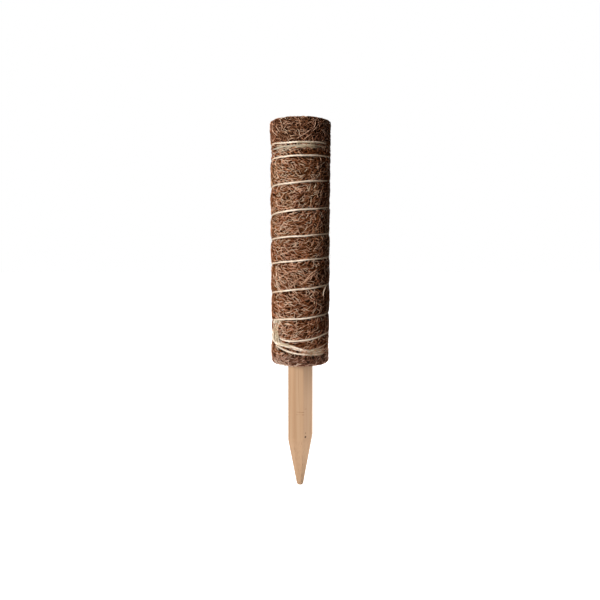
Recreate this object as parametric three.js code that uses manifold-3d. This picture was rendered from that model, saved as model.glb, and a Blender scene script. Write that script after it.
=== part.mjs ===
// Coir moss pole: an eight-sided wooden stake nailed into a plastic core tube, with a sheet of coconut-fibre
// felt rolled round the tube and bound on with cream twine. The empty top of the tube is a socket for the
// stake of a second pole.
// Millimetres, +Z up. The origin is on the pole's axis at the soil line, where the coir's lower end stands.
// The front of the pole faces -Y. Angles round the pole are counted from the front, towards +X.
import * as THREE from "three";
import { mergeVertices } from "three/addons/utils/BufferGeometryUtils.js";
import Module from "manifold-3d";

const wasm = await Module();
wasm.setup();

// Clearance between pieces that touch on the real pole
const FIT_GAP = 0.3;

// Wooden stake
const STAKE_SIDES = 8;
const STAKE_FLATS = 19.6;
const STAKE_EXPOSED = 106;
const STAKE_SEAT = 55;
const STAKE_POINT = 41;
const STAKE_TIP_FLATS = 5;
const STAKE_TIP_CHAMFER = 0.7;
const STAKE_TOP_CHAMFER = 1;
const STAKE_TURN = -10;

// Core tube
const TUBE_WALL = 1.6;
const TUBE_TOP_RECESS = 1.5;
const TUBE_FOOT_RECESS = 1;
const ROUND_SIDES = 48;

// Coir mat, rolled to the outer diameter
const COIR_LENGTH = 194;
const COIR_DIAMETER = 48.4;
const MAT_LAYERS = 2;
const MAT_SLIT = 0.4;
const MAT_EDGE = 1.4;
const MAT_START_ANGLE = 180;
const SLIT_STEP = 15;
const COIR_TOP_ROUND = 2;
const COIR_FOOT_ROUND = 3;
const ROUND_STEPS = 3;

// Brads that keep the stake in the tube
const NAIL_SHANK = 1.6;
const NAIL_LENGTH = 10;
const NAIL_POINT = 2.4;
const NAIL_HEAD = 3.8;
const NAIL_HEAD_THICKNESS = 0.8;
const NAIL_SIDES = 12;
const LOWER_NAIL_HEIGHT = 16;
const UPPER_NAIL_DROP = 17;

// Twine and the way that it is wound, in turns counted up from the lowest turn at the front
const TWINE_DIAMETER = 1.9;
const TWINE_SIDES = 6;
const TWINE_SINK = 0.8;
const STEPS_PER_TURN = 24;
const TIE_GAP = 0.5;
const FOOT_TIE_HEIGHT = 9.5;
const TOP_TIE_DROP = 19.3;
const FOOT_TIE_TURNS = 2;
const TURNS_TO_OPEN = 2;
const OPEN_TURNS = 5.6;
const TURNS_TO_CLOSE = 1;
const TOP_TIE_TURNS = 2.4;
const WRAP_START_STEPS = -4;
const WRAP_END_STEPS = 4;
const FOOT_TIE_SAG = 9;
const FOOT_TIE_LOW_ANGLE = 25;
const FOOT_SAG_FADE = 1.6;
const OPEN_TILT = 1.6;
const HIGH_TURNS_RISE = 3.3;
const HIGH_TURNS = 3.7;
const TOP_FAN_DROP = 0.6;
const TOP_FAN_TURNS = 2;

// Valley that each turn presses into the coir
const VALLEY_FLOOR = 1.8;
const VALLEY_WIDTH = 10;
const CUT_MARGIN = 1.5;

// Upright hitches of the twine's two ends
const HITCH_GAP = 1.8;
const HITCH_DIVE = 5.5;
const HITCH_TUCK = 3;
const HITCH_STRAIGHT_STEPS = 8;
const HITCH_BEND_STEPS = 4;
const TIE_OFF_STRANDS = 3;
const TIE_OFF_ANGLE = -55;
const TIE_OFF_RISE = 2.6;
const TOP_HITCH_ANGLE = 42;
const TOP_HITCH_LENGTH = 19;
const TOP_HITCH_CORNER = 2;
const TOP_HITCH_STEPS = 64;

// Sizes that follow from the ones above
const DEGREE = Math.PI / 180;
const FULL_TURN = 360;
const WELD = 1e-4;
const cornerRadius = (flats) => flats / 2 / Math.cos(Math.PI / STAKE_SIDES);
const stakeRadius = cornerRadius(STAKE_FLATS);
const boreRadius = stakeRadius + FIT_GAP;
const tubeRadius = boreRadius + TUBE_WALL;
const coirBore = tubeRadius + FIT_GAP;
const coirRadius = COIR_DIAMETER / 2;
const twineRadius = TWINE_DIAMETER / 2;
const wrapRadius = coirRadius - TWINE_SINK - twineRadius;
const overRadius = wrapRadius + TWINE_DIAMETER + FIT_GAP;
const underRadius = wrapRadius - TWINE_DIAMETER - FIT_GAP;
const tiePitch = TWINE_DIAMETER + TIE_GAP;
const hitchStep = TWINE_DIAMETER + HITCH_GAP;
const topTieTurn = FOOT_TIE_TURNS + TURNS_TO_OPEN + OPEN_TURNS + TURNS_TO_CLOSE;
const lastTurn = topTieTurn + TOP_TIE_TURNS;

const pole = new THREE.Group();

function addPiece(name, geometry, color, roughness, metalness = 0) {
  const material = new THREE.MeshStandardMaterial({ color, roughness, metalness });
  const mesh = new THREE.Mesh(geometry, material);
  mesh.name = name;
  pole.add(mesh);
}

// Closed mesh to a solid that can be cut, and back
function toSolid(geometry) {
  const bare = geometry.clone();
  bare.deleteAttribute("normal");
  bare.deleteAttribute("uv");
  const welded = mergeVertices(bare, WELD);
  const corners = welded.getIndex().array;
  const triangles = [];
  for (let i = 0; i < corners.length; i += 3) {
    const [a, b, c] = corners.slice(i, i + 3);
    if (a !== b && b !== c && c !== a) triangles.push(a, b, c);
  }
  const vertProperties = new Float32Array(welded.getAttribute("position").array);
  const triVerts = new Uint32Array(triangles);
  return new wasm.Manifold(new wasm.Mesh({ numProp: 3, vertProperties, triVerts }));
}

function toGeometry(solid) {
  const { vertProperties, triVerts } = solid.getMesh();
  const geometry = new THREE.BufferGeometry();
  geometry.setAttribute("position", new THREE.BufferAttribute(vertProperties, 3));
  geometry.setIndex(new THREE.BufferAttribute(triVerts, 1));
  geometry.computeVertexNormals();
  return geometry;
}

// Solid of revolution about Z from [radius, height] pairs, listed upwards along the outside
function turned(profile, sides, firstCorner = 0) {
  const points = profile.map(([radius, height]) => new THREE.Vector2(radius, height));
  return new THREE.LatheGeometry(points, sides, firstCorner).rotateX(Math.PI / 2);
}

// Point at an angle from the front, a distance from the axis and a height
function onPole(angle, radius, height) {
  const turn = angle * DEGREE;
  return new THREE.Vector3(radius * Math.sin(turn), -radius * Math.cos(turn), height);
}

// Corners of a round section
function roundSection(radius) {
  return Array.from({ length: TWINE_SIDES }, (_, i) => {
    const turn = (i / TWINE_SIDES) * 2 * Math.PI;
    return [radius * Math.cos(turn), radius * Math.sin(turn)];
  });
}

// Tube of a round section along a curve
function tube(curve, steps, radius) {
  const section = new THREE.Shape(roundSection(radius).map(([x, y]) => new THREE.Vector2(x, y)));
  return new THREE.ExtrudeGeometry(section, { steps, extrudePath: curve, bevelEnabled: false });
}

// Least gap between parts of one tube that lie apart along it, measured on points of its centre line
function leastGap(curve, pointCount) {
  const points = curve.getSpacedPoints(pointCount);
  const spacing = curve.getLength() / pointCount;
  const apart = Math.ceil((Math.PI * TWINE_DIAMETER) / spacing);
  let least = Infinity;
  for (let i = 0; i < points.length; i += 1) {
    for (let j = i + apart; j < points.length; j += 1) {
      least = Math.min(least, points[i].distanceTo(points[j]));
    }
  }
  return least - TWINE_DIAMETER;
}

// Wooden stake, a pencil-like stick with a blunt tip
function makeStake() {
  const tipRadius = cornerRadius(STAKE_TIP_FLATS);
  const profile = [
    [0, -STAKE_EXPOSED],
    [tipRadius - STAKE_TIP_CHAMFER, -STAKE_EXPOSED],
    [tipRadius, STAKE_TIP_CHAMFER - STAKE_EXPOSED],
    [stakeRadius, STAKE_POINT - STAKE_EXPOSED],
    [stakeRadius, STAKE_SEAT - STAKE_TOP_CHAMFER],
    [stakeRadius - STAKE_TOP_CHAMFER, STAKE_SEAT],
    [0, STAKE_SEAT],
  ];
  return turned(profile, STAKE_SIDES, Math.PI / STAKE_SIDES).rotateZ(STAKE_TURN * DEGREE);
}

// Core tube, open at both ends
function makeTube() {
  const top = COIR_LENGTH - TUBE_TOP_RECESS;
  const profile = [
    [boreRadius, TUBE_FOOT_RECESS],
    [tubeRadius, TUBE_FOOT_RECESS],
    [tubeRadius, top],
    [boreRadius, top],
    [boreRadius, TUBE_FOOT_RECESS],
  ];
  return turned(profile, ROUND_SIDES);
}

// Places of the two brads: each goes square into a flat of the stake, from opposite sides
const nails = [
  { name: "stake_nail_lower", angle: STAKE_TURN - 90, height: LOWER_NAIL_HEIGHT },
  { name: "stake_nail_upper", angle: STAKE_TURN + 90, height: STAKE_SEAT - UPPER_NAIL_DROP },
];

// A shape turned about Z, laid so that its foot points at the pole's axis from a distance out
function pointedInwards(geometry, footRadius, nail) {
  return geometry
    .rotateY(Math.PI / 2)
    .translate(footRadius, 0, nail.height)
    .rotateZ((nail.angle - 90) * DEGREE);
}

const nailFoot = tubeRadius + FIT_GAP - NAIL_LENGTH;

function makeNail(nail) {
  const shank = NAIL_SHANK / 2;
  const head = NAIL_HEAD / 2;
  const profile = [
    [0, 0],
    [shank, NAIL_POINT],
    [shank, NAIL_LENGTH],
    [head, NAIL_LENGTH],
    [head, NAIL_LENGTH + NAIL_HEAD_THICKNESS],
    [0, NAIL_LENGTH + NAIL_HEAD_THICKNESS],
  ];
  return pointedInwards(turned(profile, NAIL_SIDES), nailFoot, nail);
}

// Room for a brad: a drilled hole for the shank and a pocket for the head
function makeNailRoom(nail) {
  const shank = NAIL_SHANK / 2 + FIT_GAP;
  const head = NAIL_HEAD / 2 + FIT_GAP;
  const headFoot = NAIL_LENGTH + FIT_GAP / 2;
  const depth = NAIL_LENGTH + NAIL_HEAD_THICKNESS + 2 * FIT_GAP;
  const profile = [
    [0, 0],
    [shank, 0],
    [shank, headFoot],
    [head, headFoot],
    [head, depth],
    [0, depth],
  ];
  return toSolid(pointedInwards(turned(profile, NAIL_SIDES), nailFoot - FIT_GAP, nail));
}

// Height gained by a wrap whose pitch eases from none to one over some turns, per unit of pitch
function easedRise(turn, start, span) {
  const share = THREE.MathUtils.clamp((turn - start) / span, 0, 1);
  const within = share ** 3 - share ** 4 / 2;
  return span * within + Math.max(turn - start - span, 0);
}

const closingTurn = topTieTurn - TURNS_TO_CLOSE;
const openedRise = (turn) =>
  easedRise(turn, FOOT_TIE_TURNS, TURNS_TO_OPEN) - easedRise(turn, closingTurn, TURNS_TO_CLOSE);
const wrapRise = COIR_LENGTH - TOP_TIE_DROP - FOOT_TIE_HEIGHT;
const openPitch = (wrapRise - tiePitch * lastTurn) / openedRise(lastTurn);

// Share of the foot tie's sag at an angle, greatest at its low angle and none opposite
const sagShare = (angle) => Math.cos(((angle - FOOT_TIE_LOW_ANGLE) / 2) * DEGREE) ** 4;

// Height of the wrap's centre line at a turn: close, open and close again, with the unevenness of hand
// winding
function wrapHeight(turn) {
  const angle = turn * FULL_TURN;
  const opening = FOOT_TIE_TURNS + TURNS_TO_OPEN;
  const tied = 1 - THREE.MathUtils.smoothstep(turn, opening - FOOT_SAG_FADE, opening);
  const closed = THREE.MathUtils.smoothstep(turn, closingTurn, topTieTurn);
  const footTilt = FOOT_TIE_SAG * (sagShare(0) - sagShare(angle)) * tied;
  const openTilt = -OPEN_TILT * Math.sin(angle * DEGREE) * (1 - tied) * (1 - closed);
  const highShare = THREE.MathUtils.clamp((turn - opening) / HIGH_TURNS, 0, 1);
  const highRise = HIGH_TURNS_RISE * Math.sin(highShare * Math.PI) ** 2;
  const unevenness = footTilt + openTilt + highRise - topFan(turn);
  return FOOT_TIE_HEIGHT + tiePitch * turn + openPitch * openedRise(turn) + unevenness;
}

// How far the first turns of the top tie hang below it at the left, the first of them the most
function topFan(turn) {
  const firstFanTurn = Math.floor(topTieTurn);
  const fanned = THREE.MathUtils.clamp(Math.floor(turn) - firstFanTurn, -1, TOP_FAN_TURNS);
  if (fanned < 0 || fanned === TOP_FAN_TURNS) return 0;
  const leftShare = THREE.MathUtils.clamp(2 * (turn - Math.floor(turn)) - 1, 0, 1);
  return TOP_FAN_DROP * (TOP_FAN_TURNS - fanned) * Math.sin(leftShare * Math.PI) ** 2;
}

// Stations of the wrap's centre line, a fixed number of steps to the turn
const wrapPoints = [];
const wrapLastStep = Math.round(lastTurn * STEPS_PER_TURN) + WRAP_END_STEPS;
for (let step = WRAP_START_STEPS; step <= wrapLastStep; step += 1) {
  const turn = step / STEPS_PER_TURN;
  wrapPoints.push(onPole(turn * FULL_TURN, wrapRadius, wrapHeight(turn)));
}

// Closed sweep along stations round the pole of a section given in [upward, outward] pairs
function swept(points, section) {
  const positions = [];
  const indices = [];
  for (const point of points) {
    const outward = new THREE.Vector3(point.x, point.y, 0).normalize();
    for (const [up, out] of section) {
      positions.push(point.x + outward.x * out, point.y + outward.y * out, point.z + up);
    }
  }
  const corners = section.length;
  for (let ring = 0; ring < points.length - 1; ring += 1) {
    for (let k = 0; k < corners; k += 1) {
      const a = ring * corners + k;
      const b = ring * corners + ((k + 1) % corners);
      indices.push(a, b, b + corners, a, b + corners, a + corners);
    }
  }
  const last = (points.length - 1) * corners;
  for (let k = 1; k < corners - 1; k += 1) {
    indices.push(0, k + 1, k, last, last + k, last + k + 1);
  }
  const geometry = new THREE.BufferGeometry();
  geometry.setAttribute("position", new THREE.Float32BufferAttribute(positions, 3));
  geometry.setIndex(indices);
  geometry.computeVertexNormals();
  return geometry;
}

// Valley of one stretch of the wrap, a trapezium wide at the coir's surface
function makeValley(points) {
  const floor = VALLEY_FLOOR / 2;
  const foot = -twineRadius - FIT_GAP;
  const top = coirRadius + CUT_MARGIN - wrapRadius;
  const brim = VALLEY_WIDTH / 2;
  const section = [
    [-floor, foot],
    [floor, foot],
    [brim, top],
    [-brim, top],
  ];
  return toSolid(swept(points, section));
}

// Hitch of upright strands side by side, joined by bends, that lie over the turns.
// Above tuckHeight the strands sink into the coir and pass under the turns.
function hitchCurve(strands, middleAngle, low, high, tuckHeight) {
  const stepAngle = hitchStep / overRadius / DEGREE;
  const firstAngle = middleAngle - (stepAngle * (strands - 1)) / 2;
  const bend = hitchStep / 2;
  const radiusAt = (height) => {
    const sunk = THREE.MathUtils.smoothstep(height, tuckHeight, tuckHeight + HITCH_DIVE);
    return THREE.MathUtils.lerp(overRadius, underRadius, sunk);
  };
  const points = [];
  const add = (angle, height) => points.push(onPole(angle, radiusAt(height), height));
  for (let strand = 0; strand < strands; strand += 1) {
    const angle = firstAngle + strand * stepAngle;
    const upwards = strand % 2 === 0;
    const from = upwards ? low + bend : high - bend;
    const to = upwards ? high - bend : low + bend;
    for (let i = 0; i <= HITCH_STRAIGHT_STEPS; i += 1) {
      add(angle, THREE.MathUtils.lerp(from, to, i / HITCH_STRAIGHT_STEPS));
    }
    if (strand === strands - 1) continue;
    for (let i = 1; i < HITCH_BEND_STEPS; i += 1) {
      const turn = (i / HITCH_BEND_STEPS) * Math.PI;
      const rise = bend * Math.sin(turn) * (upwards ? 1 : -1);
      add(angle + (stepAngle / 2) * (1 - Math.cos(turn)), to + rise);
    }
  }
  return new THREE.CatmullRomCurve3(points, false, "centripetal");
}

const turnAt = (turn, angle) => turn + angle / FULL_TURN;
const tieOffSteps = TIE_OFF_STRANDS * (HITCH_STRAIGHT_STEPS + HITCH_BEND_STEPS);
const tuckTurnHeight = wrapHeight(turnAt(FOOT_TIE_TURNS + TURNS_TO_OPEN, TIE_OFF_ANGLE));
const footTieTopHeight = wrapHeight(turnAt(FOOT_TIE_TURNS, TIE_OFF_ANGLE));
const tieOffCurve = hitchCurve(
  TIE_OFF_STRANDS,
  TIE_OFF_ANGLE,
  footTieTopHeight + TIE_OFF_RISE,
  tuckTurnHeight + HITCH_TUCK,
  tuckTurnHeight - twineRadius - HITCH_DIVE,
);
const topTieHigh = wrapHeight(turnAt(lastTurn, TOP_HITCH_ANGLE));
const topTieMiddle = (topTieHigh + wrapHeight(turnAt(Math.ceil(topTieTurn), TOP_HITCH_ANGLE))) / 2;

// Hitch at the top: a loop of two strands that lies along the tie, turns up at its right end and is tucked
// into the coir above the tie
function topHitchLoop() {
  const half = hitchStep / 2;
  const tuckHeight = topTieHigh + twineRadius;
  const endHeight = tuckHeight + HITCH_DIVE + HITCH_TUCK;
  const onTie = (across, height) => {
    const sunk = THREE.MathUtils.smoothstep(height, tuckHeight, tuckHeight + HITCH_DIVE);
    const radius = THREE.MathUtils.lerp(overRadius, underRadius, sunk);
    return onPole(TOP_HITCH_ANGLE + across / overRadius / DEGREE, radius, height);
  };
  const strand = (side) => {
    const bend = TOP_HITCH_CORNER + (side < 0 ? 0 : hitchStep);
    const low = topTieMiddle - side * half;
    const across = side * half;
    const points = [];
    for (let i = 0; i <= HITCH_STRAIGHT_STEPS; i += 1) {
      points.push(onTie(across, THREE.MathUtils.lerp(endHeight, low + bend, i / HITCH_STRAIGHT_STEPS)));
    }
    for (let i = 1; i <= HITCH_BEND_STEPS; i += 1) {
      const turn = (i / HITCH_BEND_STEPS) * (Math.PI / 2);
      points.push(onTie(across - bend * (1 - Math.cos(turn)), low + bend * (1 - Math.sin(turn))));
    }
    for (let i = 1; i <= HITCH_STRAIGHT_STEPS; i += 1) {
      const share = i / HITCH_STRAIGHT_STEPS;
      points.push(onTie(THREE.MathUtils.lerp(across - bend, -TOP_HITCH_LENGTH, share), low));
    }
    return points;
  };
  const loopEnd = [];
  for (let i = 1; i < HITCH_BEND_STEPS; i += 1) {
    const turn = (i / HITCH_BEND_STEPS) * Math.PI;
    loopEnd.push(onTie(-TOP_HITCH_LENGTH - half * Math.sin(turn), topTieMiddle + half * Math.cos(turn)));
  }
  const points = [...strand(-1), ...loopEnd, ...strand(1).reverse()];
  return new THREE.CatmullRomCurve3(points, false, "centripetal");
}

const topHitchCurve = topHitchLoop();

// Form of the rolled coir round the tube, with its two outer edges rounded
function makeCoirForm() {
  const edge = (centre, height, round, start) =>
    Array.from({ length: ROUND_STEPS + 1 }, (_, i) => {
      const turn = start + (i / ROUND_STEPS) * (Math.PI / 2);
      return [centre + round * Math.cos(turn), height + round * Math.sin(turn)];
    });
  const profile = [
    [coirBore, COIR_LENGTH],
    [coirBore, 0],
    ...edge(coirRadius - COIR_FOOT_ROUND, COIR_FOOT_ROUND, COIR_FOOT_ROUND, -Math.PI / 2),
    ...edge(coirRadius - COIR_TOP_ROUND, COIR_LENGTH - COIR_TOP_ROUND, COIR_TOP_ROUND, 0),
    [coirBore, COIR_LENGTH],
  ];
  return toSolid(turned(profile, STEPS_PER_TURN));
}

// Spiral slit between the mat's turns. It opens at the tube, before the mat's thinned inner edge, and ends
// under the valleys, where the outer turn is felted into the one below.
function makeMatSlit() {
  const thickness = (coirRadius - coirBore) / MAT_LAYERS;
  const radiusAt = (angle) => coirBore + (thickness * angle) / FULL_TURN;
  const angleAt = (radius) => (FULL_TURN * (radius - coirBore)) / thickness;
  const edgeAngle = angleAt(coirBore + MAT_EDGE + MAT_SLIT / 2);
  const endAngle = angleAt(wrapRadius - twineRadius - FIT_GAP - MAT_EDGE);
  const steps = Math.ceil(endAngle / SLIT_STEP);
  const place = (angle, radius) => {
    const { x, y } = onPole(MAT_START_ANGLE + angle, radius, 0);
    return new THREE.Vector2(x, y);
  };
  const outline = [];
  for (let i = 0; i <= steps; i += 1) {
    const angle = (endAngle * i) / steps;
    outline.push(place(angle, radiusAt(angle) + MAT_SLIT / 2));
  }
  for (let i = steps; i >= 0; i -= 1) {
    const angle = THREE.MathUtils.lerp(edgeAngle, endAngle, i / steps);
    outline.push(place(angle, radiusAt(angle) - MAT_SLIT / 2));
  }
  outline.push(place(edgeAngle, coirBore - CUT_MARGIN));
  outline.push(place(0, coirBore - CUT_MARGIN));
  const depth = COIR_LENGTH + 2 * CUT_MARGIN;
  const slit = new THREE.ExtrudeGeometry(new THREE.Shape(outline), { depth, bevelEnabled: false });
  return toSolid(slit.translate(0, 0, -CUT_MARGIN));
}

// Coir mat with the valleys of the wrap, room for the hitches and pockets for the brads' heads
function makeCoir() {
  let coir = makeCoirForm().subtract(makeMatSlit());
  for (let first = 0; first < wrapPoints.length - 1; first += STEPS_PER_TURN) {
    coir = coir.subtract(makeValley(wrapPoints.slice(first, first + STEPS_PER_TURN + 1)));
  }
  const room = twineRadius + FIT_GAP;
  coir = coir.subtract(toSolid(tube(tieOffCurve, tieOffSteps, room)));
  coir = coir.subtract(toSolid(tube(topHitchCurve, TOP_HITCH_STEPS, room)));
  for (const nail of nails) coir = coir.subtract(makeNailRoom(nail));
  return coir;
}

let stake = toSolid(makeStake());
let coreTube = toSolid(makeTube());
for (const nail of nails) {
  stake = stake.subtract(makeNailRoom(nail));
  coreTube = coreTube.subtract(makeNailRoom(nail));
}

addPiece("wooden_stake", toGeometry(stake), 0xcda882, 0.7);
addPiece("core_tube", toGeometry(coreTube), 0xd9d6cc, 0.45);
for (const nail of nails) addPiece(nail.name, makeNail(nail), 0x9a9a98, 0.35, 1);
addPiece("coir_mat", toGeometry(makeCoir()), 0x5a3b26, 0.95);
addPiece("twine_wrap", swept(wrapPoints, roundSection(twineRadius)), 0xd8c9a8, 0.85);
addPiece("twine_tie_off", tube(tieOffCurve, tieOffSteps, twineRadius), 0xd8c9a8, 0.85);
addPiece("twine_top_hitch", tube(topHitchCurve, TOP_HITCH_STEPS, twineRadius), 0xd8c9a8, 0.85);

const POINTS_PER_STEP = 8;
const windings = [
  ["twine_wrap", new THREE.CatmullRomCurve3(wrapPoints), wrapPoints.length],
  ["twine_tie_off", tieOffCurve, tieOffSteps],
  ["twine_top_hitch", topHitchCurve, TOP_HITCH_STEPS],
];
for (const [name, curve, steps] of windings) {
  console.log(`${name}: least gap to itself ${leastGap(curve, steps * POINTS_PER_STEP).toFixed(2)} mm`);
}

export default pole;
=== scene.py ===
"""Looks of a coir moss pole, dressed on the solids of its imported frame.

Lengths of the pole are in millimetres in the classes below and become metres when a mesh is made. Shaders
and the studio are in metres. Angles round the pole are in degrees from its front, which faces -Y, towards +X.
"""

from __future__ import annotations

import logging
import math
from dataclasses import dataclass, field
from enum import Enum

import bmesh
import bpy
import numpy as np
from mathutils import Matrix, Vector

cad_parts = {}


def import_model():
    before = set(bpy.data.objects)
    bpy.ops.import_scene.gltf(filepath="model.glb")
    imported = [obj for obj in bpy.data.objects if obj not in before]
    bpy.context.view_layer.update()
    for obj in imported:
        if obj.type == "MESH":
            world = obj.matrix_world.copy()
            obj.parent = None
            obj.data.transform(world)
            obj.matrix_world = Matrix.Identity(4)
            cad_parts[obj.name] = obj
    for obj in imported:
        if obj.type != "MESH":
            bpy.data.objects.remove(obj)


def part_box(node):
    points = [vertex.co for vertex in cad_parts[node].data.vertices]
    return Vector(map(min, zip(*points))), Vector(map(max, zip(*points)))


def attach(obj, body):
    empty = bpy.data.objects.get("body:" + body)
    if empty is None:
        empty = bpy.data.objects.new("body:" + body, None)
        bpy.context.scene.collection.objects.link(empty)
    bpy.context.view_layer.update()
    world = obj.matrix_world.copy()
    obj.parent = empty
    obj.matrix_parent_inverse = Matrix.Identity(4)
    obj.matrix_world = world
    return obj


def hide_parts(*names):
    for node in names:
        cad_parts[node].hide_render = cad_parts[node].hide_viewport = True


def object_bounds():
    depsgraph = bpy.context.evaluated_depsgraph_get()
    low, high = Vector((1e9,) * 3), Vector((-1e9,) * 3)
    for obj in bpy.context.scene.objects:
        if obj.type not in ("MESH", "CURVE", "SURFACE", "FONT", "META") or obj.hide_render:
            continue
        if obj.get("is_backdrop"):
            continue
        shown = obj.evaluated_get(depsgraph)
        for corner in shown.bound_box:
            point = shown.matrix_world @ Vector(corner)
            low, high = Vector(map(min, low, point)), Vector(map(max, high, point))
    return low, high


LOG = logging.getLogger("moss_pole")
MM = 0.001
BODY = "root"

Array = np.ndarray
Colour = tuple[int, int, int]
Place = tuple[float, float, float]
Range = tuple[float, float]
Strands = tuple[np.ndarray, np.ndarray, np.ndarray]


class Slot(Enum):
    """Names of material slots in the record, which the script does not use."""

    WOOD = "stake_wood"
    PLASTIC = "tube_plastic"
    COIR = "coir_fibre"
    TWINE = "twine_fibre"


class Tone(Enum):
    """Shades of coconut fibre, from the dark inside of the felt to its palest, sun-faded loose hairs."""

    UMBER = "umber"
    CHESTNUT = "chestnut"
    RUSSET = "russet"
    TAN = "tan"
    STRAW = "straw"


def linear(colour: Colour) -> tuple[float, float, float, float]:
    """Turn a colour as seen on a screen into the shader's linear one.

    Args:
        colour: Red, green and blue from 0 to 255.

    Returns:
        Linear red, green, blue and an alpha of one.
    """
    shares = [channel / 255 for channel in colour]
    values = [share / 12.92 if share <= 0.04045 else ((share + 0.055) / 1.055) ** 2.4 for share in shares]
    return values[0], values[1], values[2], 1.0


def smoothstep(value: Array, low: float, high: float) -> Array:
    """Ease from 0 at low to 1 at high.

    Args:
        value: Places to measure.
        low: Where the rise starts.
        high: Where the rise ends.

    Returns:
        The share of the rise at each place.
    """
    share = np.clip((value - low) / (high - low), 0, 1)
    return share * share * (3 - 2 * share)


def between(value: Array, rise: Range, fall: Range) -> Array:
    """Ease from 0 to 1 over one range and back to 0 over a later one.

    Args:
        value: Places to measure.
        rise: Where the rise starts and ends.
        fall: Where the fall starts and ends.

    Returns:
        The share at each place.
    """
    return smoothstep(value, *rise) * (1 - smoothstep(value, *fall))


def rounding(inset: Array, radius: float) -> Array:
    """Return how far a round edge falls back at each distance from the end.

    Args:
        inset: Distances from the end.
        radius: Radius of the round.

    Returns:
        Depths below the plain side.
    """
    return radius * (1 - np.sqrt(1 - (1 - np.clip(inset / radius, 0, 1)) ** 2))


def on_pole(angle: Array, radius: Array, height: Array) -> Array:
    """Place points round the pole.

    Args:
        angle: Degrees from the front.
        radius: Distance from the axis.
        height: Height over the coir's foot.

    Returns:
        The points, with x, y and z on the last axis.
    """
    turn = np.radians(angle)
    return np.stack(np.broadcast_arrays(radius * np.sin(turn), -radius * np.cos(turn), height), axis=-1)


def outward(points: Array) -> Array:
    """Return the level directions from the pole's axis to some points."""
    flat = points * np.array([1.0, 1.0, 0.0])
    return flat / np.maximum(np.linalg.norm(flat, axis=-1, keepdims=True), 1e-9)


def unit(vectors: Array) -> Array:
    """Return vectors scaled to a length of one."""
    return vectors / np.maximum(np.linalg.norm(vectors, axis=-1, keepdims=True), 1e-9)


def runs_along(points: Array) -> Array:
    """Return how far along a path each of its points lies."""
    return np.concatenate([[0], np.cumsum(np.linalg.norm(np.diff(points, axis=0), axis=1))])


def smooth_path(places: Array, steps: int) -> Array:
    """Run a smooth curve through places.

    Args:
        places: Places in order, one in a row.
        steps: Number of points on the curve.

    Returns:
        The points of the curve.
    """
    padded = np.concatenate([2 * places[:1] - places[1:2], places, 2 * places[-1:] - places[-2:-1]])
    at = np.linspace(0, len(places) - 1, steps)
    index = np.minimum(at.astype(int), len(places) - 2)
    share = (at - index)[:, None]
    before, start, end, after = (padded[index + offset] for offset in range(4))
    square = (2 * before - 5 * start + 4 * end - after) * share**2
    cube = (3 * start - before - 3 * end + after) * share**3
    return start + 0.5 * ((end - before) * share + square + cube)


@dataclass
class MeshParts:
    """Corners and faces that become one Blender mesh.

    Attributes:
        corners: Blocks of points, in millimetres.
        faces: Blocks of faces of one corner count each.
    """

    corners: list[Array] = field(default_factory=list)
    faces: list[Array] = field(default_factory=list)

    def add(self, corners: Array, *faces: Array) -> None:
        """Add points and the faces between them.

        Args:
            corners: Points of the block.
            faces: Arrays of corner numbers, counted from the block's first point.
        """
        start = sum(len(block) for block in self.corners)
        self.corners.append(corners.reshape(-1, 3))
        self.faces.extend(block + start for block in faces if len(block))

    def merge(self, other: MeshParts) -> None:
        """Add all of another mesh.

        Args:
            other: Mesh to add.
        """
        start = sum(len(block) for block in self.corners)
        self.corners.extend(other.corners)
        self.faces.extend(block + start for block in other.faces)

    def add_grid(self, points: Array) -> None:
        """Add rows of points, each of which runs round to its start, as a skin of four-cornered faces.

        Args:
            points: Grid of points, rows first.
        """
        rows, columns = points.shape[:2]
        number = np.arange(rows * columns).reshape(rows, columns)
        after = np.roll(number, -1, axis=1)
        quads = np.stack([number[:-1], after[:-1], after[1:], number[1:]], axis=-1)
        self.add(points, quads.reshape(-1, 4))

    def build(self, name: str, smooth: bool = True) -> bpy.types.Object:
        """Make the Blender object.

        Args:
            name: Name of the object and its mesh.
            smooth: Whether the faces are shaded smooth.

        Returns:
            The new object, linked to the scene.
        """
        mesh = bpy.data.meshes.new(name)
        corners = np.concatenate(self.corners) * MM
        mesh.vertices.add(len(corners))
        mesh.vertices.foreach_set("co", corners.astype(np.float32).ravel())
        loops = np.concatenate([block.ravel() for block in self.faces]).astype(np.int32)
        sizes = np.concatenate([np.full(len(block), block.shape[1]) for block in self.faces])
        mesh.loops.add(len(loops))
        mesh.loops.foreach_set("vertex_index", loops)
        mesh.polygons.add(len(sizes))
        starts = np.concatenate([[0], np.cumsum(sizes)[:-1]]).astype(np.int32)
        mesh.polygons.foreach_set("loop_start", starts)
        mesh.polygons.foreach_set("use_smooth", np.full(len(sizes), smooth))
        mesh.update(calc_edges=True)
        mesh.validate()
        piece = bpy.data.objects.new(name, mesh)
        bpy.context.scene.collection.objects.link(piece)
        return piece


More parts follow.
